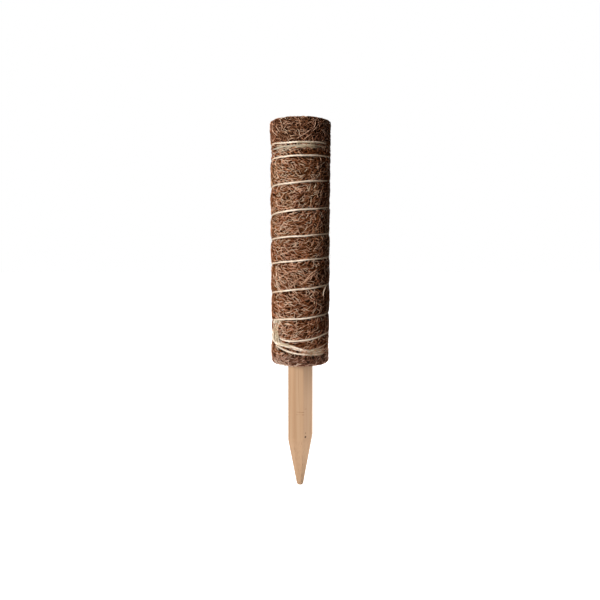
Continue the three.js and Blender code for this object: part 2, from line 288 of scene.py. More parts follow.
def strands(points: Array, normals: Array, radii: Array, sides: int) -> MeshParts:
    """Make closed round strands along many paths of the same number of points.

    Args:
        points: Paths, then points, then x, y and z.
        normals: Directions away from the surface below, for each point.
        radii: Radius of the strand at each point.
        sides: Corners of a strand's section.

    Returns:
        The mesh of all strands.
    """
    count, steps = points.shape[:2]
    along = unit(np.gradient(points, axis=1))
    side = unit(np.cross(along, normals))
    rise = np.cross(side, along)
    turn = np.arange(sides) * (2 * math.pi / sides)
    ring = np.cos(turn)[:, None] * rise[:, :, None, :] + np.sin(turn)[:, None] * side[:, :, None, :]
    corners = points[:, :, None, :] + radii[:, :, None, None] * ring
    number = np.arange(count * steps * sides).reshape(count, steps, sides)
    after = np.roll(number, -1, axis=2)
    quads = np.stack([number[:, :-1], number[:, 1:], after[:, 1:], after[:, :-1]], axis=-1)
    parts = MeshParts()
    parts.add(corners, quads.reshape(-1, 4), number[:, 0, :], number[:, -1, ::-1])
    return parts


class NodeGraph:
    """Node tree of one material, with short calls to add and join nodes."""

    def __init__(self, name: str) -> None:
        """Start a material with its principled shader.

        Args:
            name: Name of the material.
        """
        self.material = bpy.data.materials.new(name)
        self.material.use_nodes = True
        self.nodes = self.material.node_tree.nodes
        self.links = self.material.node_tree.links
        self.shader = self.nodes["Principled BSDF"]
        self.place = self.add("ShaderNodeTexCoord").outputs["Object"]

    def add(self, kind: str, **values: object) -> bpy.types.Node:
        """Add a node.

        Args:
            kind: Blender's name of the node type.
            values: Settings of the node, or values of its inputs, with _ for a space.

        Returns:
            The new node.
        """
        node = self.nodes.new(kind)
        for name, value in values.items():
            socket = node.inputs.get(name.replace("_", " "))
            if socket is not None and not hasattr(node, name):
                socket.default_value = value
            else:
                setattr(node, name, value)
        return node

    def join(self, source: bpy.types.NodeSocket, target: bpy.types.NodeSocket) -> None:
        """Link an output to an input."""
        self.links.new(source, target)

    def axes(self) -> bpy.types.NodeOutputs:
        """Split the places into their axes.

        Returns:
            Outputs with the X, Y and Z of each place.
        """
        split = self.add("ShaderNodeSeparateXYZ")
        self.join(self.place, split.inputs[0])
        return split.outputs

    def stretched(self, scale: Place) -> bpy.types.NodeSocket:
        """Scale the places by axis.

        Args:
            scale: Scale along X, Y and Z.

        Returns:
            The scaled places.
        """
        mapping = self.add("ShaderNodeMapping", Scale=scale)
        self.join(self.place, mapping.inputs["Vector"])
        return mapping.outputs["Vector"]

    def noise(self, place: bpy.types.NodeSocket, scale: float, detail: float = 3) -> bpy.types.NodeSocket:
        """Add cloudy noise.

        Args:
            place: Places to read it at.
            scale: Waves per unit of place.
            detail: Octaves of finer noise.

        Returns:
            The noise, from 0 to 1.
        """
        node = self.add("ShaderNodeTexNoise", Scale=scale, Detail=detail)
        self.join(place, node.inputs["Vector"])
        return node.outputs["Fac"]

    def spread(
        self, value: bpy.types.NodeSocket, low: float, high: float, to_low: float = 0, to_high: float = 1
    ) -> bpy.types.NodeSocket:
        """Map a range of values to another, with the ends held.

        Args:
            value: Value to map.
            low: Value that becomes to_low.
            high: Value that becomes to_high.
            to_low: First end of the result.
            to_high: Second end of the result.

        Returns:
            Output socket of the mapped value.
        """
        node = self.add("ShaderNodeMapRange")
        for name, number in (("From Min", low), ("From Max", high), ("To Min", to_low), ("To Max", to_high)):
            node.inputs[name].default_value = number
        self.join(value, node.inputs["Value"])
        return node.outputs["Result"]

    def blend(self, share: bpy.types.NodeSocket, first: object, second: object) -> bpy.types.NodeSocket:
        """Mix two colours by a share.

        Args:
            share: Share of the second colour.
            first: Linear colour or colour output.
            second: Linear colour or colour output.

        Returns:
            The mixed colour.
        """
        node = self.add("ShaderNodeMix", data_type="RGBA")
        self.join(share, node.inputs[0])
        for colour, socket in ((first, node.inputs[6]), (second, node.inputs[7])):
            if isinstance(colour, bpy.types.NodeSocket):
                self.join(colour, socket)
            else:
                socket.default_value = colour
        return node.outputs[2]

    def math(
        self, operation: str, first: bpy.types.NodeSocket, second: object = None
    ) -> bpy.types.NodeSocket:
        """Work out one step of arithmetic.

        Args:
            operation: Blender's name of the step.
            first: First value.
            second: Second value, a number or an output.

        Returns:
            The result.
        """
        node = self.add("ShaderNodeMath", operation=operation)
        self.join(first, node.inputs[0])
        if isinstance(second, bpy.types.NodeSocket):
            self.join(second, node.inputs[1])
        elif second is not None:
            node.inputs[1].default_value = second
        return node.outputs[0]

    def bump(self, height: bpy.types.NodeSocket, depth: float, strength: float) -> None:
        """Roughen the shader's surface.

        Args:
            height: Height from 0 to 1.
            depth: Depth of the relief in millimetres.
            strength: How much of it shows.
        """
        node = self.add("ShaderNodeBump", Strength=strength, Distance=depth * MM)
        self.join(height, node.inputs["Height"])
        self.join(node.outputs["Normal"], self.shader.inputs["Normal"])

    def set(self, **values: object) -> None:
        """Set inputs of the shader that are the same all over, with _ for a space in a name."""
        for name, value in values.items():
            self.shader.inputs[name.replace("_", " ")].default_value = value


@dataclass(frozen=True)
class FibreFinish:
    """One shade of coir, a little mottled along the fibres.

    Attributes:
        tone: Shade that this is.
        light: Paler stretches.
        dark: Darker stretches.
        weathered: Yellowed areas of the felt.
        roughness: Roughness of the fibre's skin.
        yellowed: Most that an area yellows.
        low_yellowed: Share of that at the lower end.
        yellowed_heights: Heights between which the yellowing grows.
        dusty_end: Saturation that dust leaves at the felt's upper end.
        dusty_heights: Heights between which the dust starts.
        soiled_end: Saturation that soil leaves at its lower end.
        soiled_heights: Heights between which the soil starts.
    """

    tone: Tone
    light: Colour
    dark: Colour
    weathered: Colour
    roughness: float = 0.7
    yellowed: float = 0.7
    low_yellowed: float = 0.25
    yellowed_heights: Range = (0.05, 0.14)
    dusty_end: float = 0.92
    dusty_heights: Range = (0.172, 0.177)
    soiled_end: float = 0.84
    soiled_heights: Range = (0.01, 0.006)

    def material(self) -> bpy.types.Material:
        """Make the finish.

        Returns:
            A new material.
        """
        graph = NodeGraph(f"coir_{self.tone.value}")
        height = graph.axes()["Z"]
        patches = graph.spread(graph.noise(graph.place, 160), 0.32, 0.68)
        colour = graph.blend(patches, linear(self.dark), linear(self.light))
        areas = graph.spread(graph.noise(graph.place, 52, 2), 0.42, 0.66, 0, self.yellowed)
        grown = graph.spread(height, *self.yellowed_heights, self.low_yellowed, 1)
        areas = graph.math("MULTIPLY", areas, grown)
        colour = graph.blend(areas, colour, linear(self.weathered))
        upper = graph.spread(height, *self.dusty_heights, 1, self.dusty_end)
        lower = graph.spread(height, *self.soiled_heights, 1, self.soiled_end)
        faded = graph.add("ShaderNodeHueSaturation", Value=1.0)
        graph.join(graph.math("MULTIPLY", upper, lower), faded.inputs["Saturation"])
        graph.join(colour, faded.inputs["Color"])
        graph.join(faded.outputs["Color"], graph.shader.inputs["Base Color"])
        graph.bump(graph.noise(graph.place, 3200, 2), 0.12, 0.5)
        graph.set(Roughness=self.roughness, Specular_IOR_Level=0.04)
        return graph.material


@dataclass(frozen=True)
class TwineFinish:
    """Undyed cream twine with faint darker flecks of stalk.

    Attributes:
        name: Name of the material.
        cream: Clean yarn.
        shade: Soiled yarn, also drawn as painted shade at the left of the pole.
        fleck: Bits of stalk spun in.
        tie_shade: Greyed yarn at the left of the top tie.
        shaded_side_tint: Warm tint painted on the yarn at the shaded right of the pole, for the brown light
            from the coir.
        left_painted_shade: Share of painted shade on the yarn at the left of the pole.
        tie_soil: Share of soil on the lower turns of the top tie.
        shaded_side_tint_share: Share of that painted warm tint on the yarn at the right.
        left_side: Places across between which the painted shade at the left starts.
        right_side: Places across between which the painted warm tint at the right starts.
        tie_top: Heights between which the soil on the top tie starts.
        tie_foot: Heights between which it ends.
        tie_middle: Places across between which the soil of the tie turns grey.
    """

    name: str
    cream: Colour = (241, 228, 212)
    shade: Colour = (191, 171, 149)
    fleck: Colour = (146, 120, 92)
    tie_shade: Colour = (147, 138, 124)
    shaded_side_tint: Colour = (236, 209, 182)
    left_painted_shade: float = 0.0
    tie_soil: float = 0.0
    shaded_side_tint_share: float = 0.75
    left_side: Range = (-0.011, -0.019)
    right_side: Range = (0.006, 0.014)
    tie_top: Range = (0.1732, 0.1726)
    tie_foot: Range = (0.166, 0.167)
    tie_middle: Range = (0.003, -0.003)

    def material(self) -> bpy.types.Material:
        """Make the finish.

        Returns:
            A new material.
        """
        graph = NodeGraph(self.name)
        axes = graph.axes()
        patches = graph.spread(graph.noise(graph.place, 190, 4), 0.35, 0.7, 0, 0.8)
        yarn = graph.blend(patches, linear(self.cream), linear(self.shade))
        # Painted shade: the yarn is drawn darker towards the left of the pole.
        left = graph.spread(axes["X"], *self.left_side, 0, self.left_painted_shade)
        yarn = graph.blend(left, yarn, linear(self.shade))
        # Painted shade tint: a warm tint on the yarn towards the shaded right of the pole.
        right = graph.spread(axes["X"], *self.right_side, 0, self.shaded_side_tint_share)
        yarn = graph.blend(right, yarn, linear(self.shaded_side_tint))
        lower_turns = graph.spread(axes["Z"], *self.tie_top, 0, self.tie_soil)
        lower_turns = graph.math("MULTIPLY", lower_turns, graph.spread(axes["Z"], *self.tie_foot))
        greyed = graph.spread(axes["X"], *self.tie_middle)
        tie_yarn = graph.blend(greyed, linear(self.shade), linear(self.tie_shade))
        yarn = graph.blend(lower_turns, yarn, tie_yarn)
        flecks = graph.spread(graph.noise(graph.place, 900, 2), 0.66, 0.74, 0, 0.6)
        colour = graph.blend(flecks, yarn, linear(self.fleck))
        graph.join(colour, graph.shader.inputs["Base Color"])
        graph.bump(graph.noise(graph.place, 4200, 3), 0.15, 0.6)
        graph.set(Roughness=0.82, Specular_IOR_Level=0.12, Sheen_Weight=0.08, Sheen_Roughness=0.5)
        return graph.material


@dataclass(frozen=True)
class Knot:
    """Pin knot in the stake.

    Attributes:
        place: Middle of the knot, in millimetres.
        radius: Its radius.
        strength: How dark it is, up to 1.
    """

    place: Place
    radius: float
    strength: float


@dataclass(frozen=True)
class WoodFinish:
    """Planed softwood with upright grain, pin knots and a few scars of the planer across it.

    Attributes:
        pale: Early wood.
        warm: Late wood.
        vein: Fine dark grain lines.
        fresh: Paler wood where the point was cut.
        knot_colour: Knot wood.
        knots: The knots.
        scars: Heights of the scars, in millimetres.
        scar_reach: Least and greatest x of a scar, in millimetres.
        scar_half: Half the width of a scar, and of its dark middle.
        scar_fade: Distance over which a scar's end fades.
        scar_front: Places in depth between which the scars start.
        cut_heights: Heights between which the cut point starts.
        cut_share: How much the cut point shows.
    """

    pale: Colour
    warm: Colour
    vein: Colour
    fresh: Colour
    knot_colour: Colour
    knots: tuple[Knot, ...]
    scars: tuple[float, ...]
    scar_reach: Range
    scar_half: Range = (0.0006, 0.0002)
    scar_fade: float = 0.001
    scar_front: Range = (-0.005, -0.007)
    cut_heights: Range = (-0.063, -0.068)
    cut_share: float = 0.6

    def material(self) -> bpy.types.Material:
        """Make the finish.

        Returns:
            A new material.
        """
        graph = NodeGraph("stake_planed_wood")
        broad = graph.noise(graph.stretched((230, 230, 5)), 1, 3)
        bands = graph.blend(graph.spread(broad, 0.36, 0.66), linear(self.pale), linear(self.warm))
        point = graph.spread(graph.axes()["Z"], *self.cut_heights, 0, self.cut_share)
        bands = graph.blend(point, bands, linear(self.fresh))
        fine = graph.noise(graph.stretched((1500, 1500, 14)), 1, 2)
        veins = graph.spread(fine, 0.56, 0.74, 0, 0.55)
        colour = graph.blend(veins, bands, linear(self.vein))
        colour = graph.blend(self.scar_share(graph), colour, linear(self.vein))
        for knot in self.knots:
            colour = graph.blend(self.knot_share(graph, knot), colour, linear(self.knot_colour))
        graph.join(colour, graph.shader.inputs["Base Color"])
        graph.join(graph.spread(fine, 0.3, 0.75, 0.5, 0.68), graph.shader.inputs["Roughness"])
        graph.bump(fine, 0.12, 0.35)
        graph.set(Specular_IOR_Level=0.16)
        return graph.material

    def knot_share(self, graph: NodeGraph, knot: Knot) -> bpy.types.NodeSocket:
        """Measure how far each place is into a knot.

        Args:
            graph: Node tree to add to.
            knot: The knot.

        Returns:
            Socket with 0 outside the knot and its strength in the middle.
        """
        distance = graph.add("ShaderNodeVectorMath", operation="DISTANCE")
        graph.join(graph.place, distance.inputs[0])
        distance.inputs[1].default_value = [value * MM for value in knot.place]
        radius = knot.radius * MM
        return graph.spread(distance.outputs["Value"], radius, radius * 0.5, 0, knot.strength)

    def scar_share(self, graph: NodeGraph) -> bpy.types.NodeSocket:
        """Measure how far each place is into a scar.

        Args:
            graph: Node tree to add to.

        Returns:
            Socket with 0 beside the scars and up to 1 in them.
        """
        axes = graph.axes()
        low, high = (value * MM for value in self.scar_reach)
        masks = (
            graph.spread(graph.noise(graph.stretched((420, 420, 300)), 1, 2), 0.42, 0.6, 0, 0.8),
            graph.spread(axes["X"], low - self.scar_fade, low + self.scar_fade),
            graph.spread(axes["X"], high + self.scar_fade, high - self.scar_fade),
            graph.spread(axes["Y"], *self.scar_front),
        )
        total = None
        for height in self.scars:
            offset = graph.math("SUBTRACT", axes["Z"], height * MM)
            line = graph.spread(graph.math("ABSOLUTE", offset), *self.scar_half)
            total = line if total is None else graph.math("MAXIMUM", total, line)
        for mask in masks:
            total = graph.math("MULTIPLY", total, mask)
        return total


@dataclass(frozen=True)
class PlasticFinish:
    """Extruded tube of off-white plastic with fine scuffs.

    Attributes:
        clean: Bare plastic.
        dusty: Coir dust rubbed into it.
    """

    clean: Colour = (216, 213, 203)
    dusty: Colour = (176, 164, 144)

    def material(self) -> bpy.types.Material:
        """Make the finish.

        Returns:
            A new material.
        """
        graph = NodeGraph("tube_scuffed_plastic")
        dust = graph.spread(graph.noise(graph.place, 140, 4), 0.45, 0.75, 0, 0.7)
        colour = graph.blend(dust, linear(self.clean), linear(self.dusty))
        graph.join(colour, graph.shader.inputs["Base Color"])
        scuffs = graph.noise(graph.stretched((700, 700, 60)), 1, 3)
        graph.join(graph.spread(scuffs, 0.3, 0.7, 0.4, 0.6), graph.shader.inputs["Roughness"])
        graph.bump(scuffs, 0.05, 0.3)
        return graph.material


@dataclass(frozen=True)
class SteelFinish:
    """Bright wire brad, dulled in patches.

    Attributes:
        bright: Drawn steel.
        dull: Steel with a film of rust.
    """

    bright: Colour = (196, 196, 194)
    dull: Colour = (150, 142, 132)

    def material(self) -> bpy.types.Material:
        """Make the finish.

        Returns:
            A new material.
        """
        graph = NodeGraph("nail_drawn_steel")
        film = graph.spread(graph.noise(graph.place, 700, 3), 0.4, 0.7)
        colour = graph.blend(film, linear(self.bright), linear(self.dull))
        graph.join(colour, graph.shader.inputs["Base Color"])
        graph.join(graph.spread(film, 0, 1, 0.3, 0.5), graph.shader.inputs["Roughness"])
        graph.set(Metallic=1.0)
        return graph.material


def dress(piece: bpy.types.Object, material: bpy.types.Material) -> bpy.types.Object:
    """Give a new piece its material and its place on the pole.

    Args:
        piece: Piece to dress.
        material: Its material.

    Returns:
        The same piece.
    """
    piece.data.materials.append(material)
    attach(piece, BODY)
    LOG.info("%s: %d faces", piece.name, len(piece.data.polygons))
    return piece


@dataclass(frozen=True)
class Winding:
    """Way of the twine round the coir, as the solids have it, with a few turns pulled out of their even way.

    Attributes:
        coir_length: Length of the coir.
        radius: Distance of the twine's middle from the axis.
        twine: Diameter of the twine.
        tie_gap: Gap between close turns.
        foot_height: Height of the lowest turn at the front.
        top_drop: Depth of the last turn below the coir's top.
        foot_turns: Close turns at the foot.
        opening: Turns over which the spiral opens.
        open_turns: Turns of the open spiral.
        closing: Turns over which it closes.
        top_turns: Close turns at the top.
        loose_end: Length of each loose end, in turns.
        foot_sag: How far the foot tie hangs down at its lowest angle.
        low_angle: Angle at which it hangs lowest.
        sag_fade: Turns over which the sag is lost again.
        open_tilt: How far the open turns tilt down to the right.
        high_rise: How far the first open turns are set higher.
        high_turns: Number of turns that are set higher.
        fan_drop: How far the first turns of the top tie hang apart at the left.
        fan_turns: Number of turns that hang.
        pulls: Places where a turn is pulled aside: its turn, the spread in turns and the lift.
        loose_from: Sines of the angles between which the right side starts.
        eased_from: Sines of the angles between which the left side starts.
    """

    coir_length: float = 194
    radius: float = 22.45
    twine: float = 1.9
    tie_gap: float = 0.5
    foot_height: float = 9.5
    top_drop: float = 19.3
    foot_turns: float = 2
    opening: float = 2
    open_turns: float = 5.6
    closing: float = 1
    top_turns: float = 2.4
    loose_end: float = 4 / 24
    foot_sag: float = 9
    low_angle: float = 25
    sag_fade: float = 1.6
    open_tilt: float = 1.6
    high_rise: float = 3.3
    high_turns: float = 3.7
    fan_drop: float = 0.6
    fan_turns: int = 2
    pulls: tuple[Place, ...] = (
        (0.17, 0.058, -1.5),
        (1.165, 0.062, -1.6),
        (2.04, 0.07, -1.2),
        (2.9, 0.07, -1.5),
        (3.15, 0.1, 2.2),
        (10.15, 0.1, -0.9),
        (9.82, 0.08, 0.9),
        (8.82, 0.07, 0.9),
        (12.82, 0.06, 1.0),
    )
    loose_from: Range = (0.72, 0.97)
    eased_from: Range = (0.8, 0.97)

    @property
    def pitch(self) -> float:
        """Rise of a close turn."""
        return self.twine + self.tie_gap

    @property
    def top_turn(self) -> float:
        """Turn at which the top tie starts."""
        return self.foot_turns + self.opening + self.open_turns + self.closing

    @property
    def last_turn(self) -> float:
        """Turn at which the top tie ends."""
        return self.top_turn + self.top_turns

    def eased(self, turn: Array, start: float, span: float) -> Array:
        """Height gained by a pitch that eases from none to one over some turns.

        Args:
            turn: Turns to measure at.
            start: Turn at which the easing starts.
            span: Turns that it takes.

        Returns:
            Height per unit of pitch.
        """
        share = np.clip((turn - start) / span, 0, 1)
        return span * (share**3 - share**4 / 2) + np.maximum(turn - start - span, 0)

    def opened(self, turn: Array) -> Array:
        """Return the height gained by the open spiral, per unit of its pitch."""
        closing_start = self.top_turn - self.closing
        return self.eased(turn, self.foot_turns, self.opening) - self.eased(turn, closing_start, self.closing)

    def height(self, turn: Array) -> Array:
        """Find the height of the twine's middle.

        Args:
            turn: Turns to measure at.

        Returns:
            The height at each turn.
        """
        turn = np.asarray(turn, dtype=float)
        angle = 2 * math.pi * turn
        low = math.radians(self.low_angle)
        start = self.foot_turns + self.opening
        tied = 1 - smoothstep(turn, start - self.sag_fade, start)
        closed = smoothstep(turn, self.top_turn - self.closing, self.top_turn)
        foot_tilt = self.foot_sag * (math.cos(low / 2) ** 4 - np.cos((angle - low) / 2) ** 4) * tied
        open_tilt = -self.open_tilt * np.sin(angle) * (1 - tied) * (1 - closed)
        high = self.high_rise * np.sin(np.clip((turn - start) / self.high_turns, 0, 1) * math.pi) ** 2
        rise = self.coir_length - self.top_drop - self.foot_height
        last = np.asarray(self.last_turn)
        open_pitch = (rise - self.pitch * self.last_turn) / self.opened(last)
        wound = self.foot_height + self.pitch * turn + open_pitch * self.opened(turn)
        pulled = sum(lift * np.exp(-(((turn - middle) / width) ** 2)) for middle, width, lift in self.pulls)
        return wound + foot_tilt + open_tilt + high - self.fan(turn) + pulled

    def fan(self, turn: Array) -> Array:
        """Find how far the first turns of the top tie hang below it at the left.

        Args:
            turn: Turns to measure at.

        Returns:
            The drop at each turn.
        """
        whole = np.floor(turn)
        left = np.clip(2 * (turn - whole) - 1, 0, 1)
        first = math.floor(self.top_turn)
        hanging = np.where(whole < first, 0, np.clip(self.fan_turns - (whole - first), 0, self.fan_turns))
        return self.fan_drop * hanging * np.sin(left * math.pi) ** 2

    def loose_side(self, angle: Array) -> Array:
        """Return the share of the right side, where the twine lies on the coir and not in it."""
        return smoothstep(np.sin(np.radians(angle)), *self.loose_from)

    def eased_side(self, angle: Array) -> Array:
        """Return the share of the left side, where the twine presses less."""
        return smoothstep(-np.sin(np.radians(angle)), *self.eased_from)

    def distance(self, angle: Array, height: Array) -> Array:
        """Find how far places on the coir lie above the nearest turn.

        Args:
            angle: Degrees from the front.
            height: Height of each place.

        Returns:
            Distances, less than nought below the turn.
        """
        share = np.mod(angle / 360, 1)
        nearest = np.full(np.shape(share), 1e3)
        for whole in range(-1, math.ceil(self.last_turn) + 1):
            turn = share + whole
            wound = (turn >= -self.loose_end) & (turn <= self.last_turn + self.loose_end)
            above = height - self.height(turn)
            nearest = np.where(wound & (np.abs(above) < np.abs(nearest)), above, nearest)
        return nearest


@dataclass(frozen=True)
class CoirSurface:
    """Outer skin of the rolled coir, measured along its side and over both its edges.

    The way over the skin starts at the tube on the foot, runs out along the foot, up the side and in along
    the top to the tube.

    Attributes:
        winding: Twine that presses valleys into the coir.
        length: Length of the coir.
        radius: Outer radius between the turns.
        bore: Radius of the hole that the tube fills.
        foot_round: Rounding of the lower edge.
        top_round: Rounding of the upper edge.
        foot_drop: How far the foot hangs below the plain end.
        flare: How much wider the free top stands.
        flare_drops: Depths below the top between which the flare starts.
        lump: Height of the felt's unevenness.
        broad_valley: Depth of the broad valley about each turn.
        broad_width: Spread of the broad valley.
        narrow_valley: Depth of the narrow valley under each turn.
        narrow_width: Spread of the narrow valley.
        narrow_drop: How far the narrow valley lies below the turn.
        right_taper: How much narrower the foot is at the right.
    """

    winding: Winding
    length: float
    radius: float
    bore: float
    foot_round: float = 3
    top_round: float = 2
    foot_drop: float = 0.7
    flare: float = 0.45
    flare_drops: Range = (17, 6)
    lump: float = 0.22
    broad_valley: float = 0.5
    broad_width: float = 4.5
    narrow_valley: float = 1.7
    narrow_width: float = 1.6
    narrow_drop: float = 0.45
    right_taper: float = 0.7

    @property
    def foot_flat(self) -> float:
        """Width of the flat part of the foot."""
        return self.radius - self.foot_round - self.bore

    @property
    def top_flat(self) -> float:
        """Width of the flat part of the top."""
        return self.radius - self.top_round - self.bore

    @property
    def side_start(self) -> float:
        """Way over the skin to where a height of nought would be on the side."""
        return self.foot_flat + self.foot_round * (math.pi / 2 - 1)

    @property
    def way(self) -> float:
        """Whole way over the skin from bore to bore."""
        arcs = (self.foot_round + self.top_round) * math.pi / 2
        return self.foot_flat + self.top_flat + arcs + self.length - self.foot_round - self.top_round

    def profile(self, way: Array) -> tuple[Array, Array, Array, Array]:
        """Place a distance along the way on the plain, unpressed skin.

        Args:
            way: Distances along the way.

        Returns:
            Radius, height, and the outward and upward shares of the skin's normal.
        """
        foot_arc = self.foot_round * math.pi / 2
        top_arc = self.top_round * math.pi / 2
        side = self.length - self.foot_round - self.top_round
        marks = np.cumsum([self.foot_flat, foot_arc, side, top_arc])
        on_foot = np.clip(way, 0, marks[0])
        foot_turn = np.clip((way - marks[0]) / self.foot_round, 0, math.pi / 2)
        on_side = np.clip(way - marks[1], 0, side)
        top_turn = np.clip((way - marks[2]) / self.top_round, 0, math.pi / 2)
        on_top = np.clip(way - marks[3], 0, self.top_flat)
        radius = self.bore + on_foot + self.foot_round * np.sin(foot_turn)
        radius = radius - self.top_round * (1 - np.cos(top_turn)) - on_top
        height = self.foot_round * (1 - np.cos(foot_turn)) + on_side + self.top_round * np.sin(top_turn)
        height = height - self.foot_drop * np.cos(foot_turn)
        upper = way > marks[2]
        out = np.where(upper, np.cos(top_turn), np.sin(foot_turn))
        up = np.where(upper, np.sin(top_turn), -np.cos(foot_turn))
        return radius, height, out, up

    def unevenness(self, angle: Array, height: Array) -> Array:
        """Find the rise of the skin over its plain form, with the twine's valleys.

        Args:
            angle: Degrees from the front.
            height: Height of each place.

        Returns:
            The rise at each place.
        """
        turn = np.radians(angle)
        lumps = np.sin(3 * turn + height / 9 + 0.6) * np.sin(height / 6.5 - 2 * turn)
        lumps = lumps + 0.7 * np.sin(7 * turn - height / 5 + 2.1) * np.sin(height / 3.9 + 4 * turn)
        gap = self.winding.distance(angle, height)
        right = self.winding.loose_side(angle)
        left = self.winding.eased_side(angle)
        narrow = self.narrow_valley * (1 - 0.8 * right - 0.6 * left)
        narrow = narrow * np.exp(-(((gap + self.narrow_drop) / self.narrow_width) ** 2))
        broad = self.broad_valley * (1 - right - 0.5 * left) * np.exp(-((gap / self.broad_width) ** 2))
        flare_low, flare_high = (self.length - drop for drop in self.flare_drops)
        flare = self.flare * smoothstep(height, flare_low, flare_high) * (1 - right)
        taper = self.right_taper * right * (1 - height / self.length)
        return self.lump * lumps + flare - taper - (broad + narrow)

    def points(self, angle: Array, way: Array, depth: Array) -> tuple[Array, Array]:
        """Place points under the skin.

        Args:
            angle: Degrees from the front.
            way: Distance along the way over the skin.
            depth: Depth below the skin.

        Returns:
            The points and the skin's normals there.
        """
        radius, height, out, up = self.profile(way)
        rise = self.unevenness(angle, height) * np.clip(out, 0, 1) - depth
        radius = np.maximum(radius + rise * out, self.bore)
        points = on_pole(angle, radius, height + rise * up)
        turn = np.radians(angle)
        normals = np.stack([out * np.sin(turn), -out * np.cos(turn), up], axis=-1)
        return points, normals


@dataclass(frozen=True)
class FibreLayer:
    """Fibres that lie at one depth of the felt.

    Attributes:
        count: Number of fibres.
        depth: Least and greatest depth below the skin.
        length: Least and greatest length.
        radius: Least and greatest radius.
        tones: Share of each shade.
        curl: Swing of a fibre's heading as it curls, in radians.
        tangle: How far fibres stray from the lie of the felt, in radians.
    """

    count: int
    depth: Range
    length: Range
    radius: Range
    tones: dict[Tone, float]
    curl: float = 0.3
    tangle: float = 0.66


@dataclass(frozen=True)
class LooseStrand:
    """One strand that lies free over the coir.

    Attributes:
        places: Angle, height and lift over what lies below, from end to end.
        radius: Radius of the strand.
        soiled: Whether it has taken on the colour of the coir.
    """

    places: tuple[Place, ...]
    radius: float
    soiled: bool = False


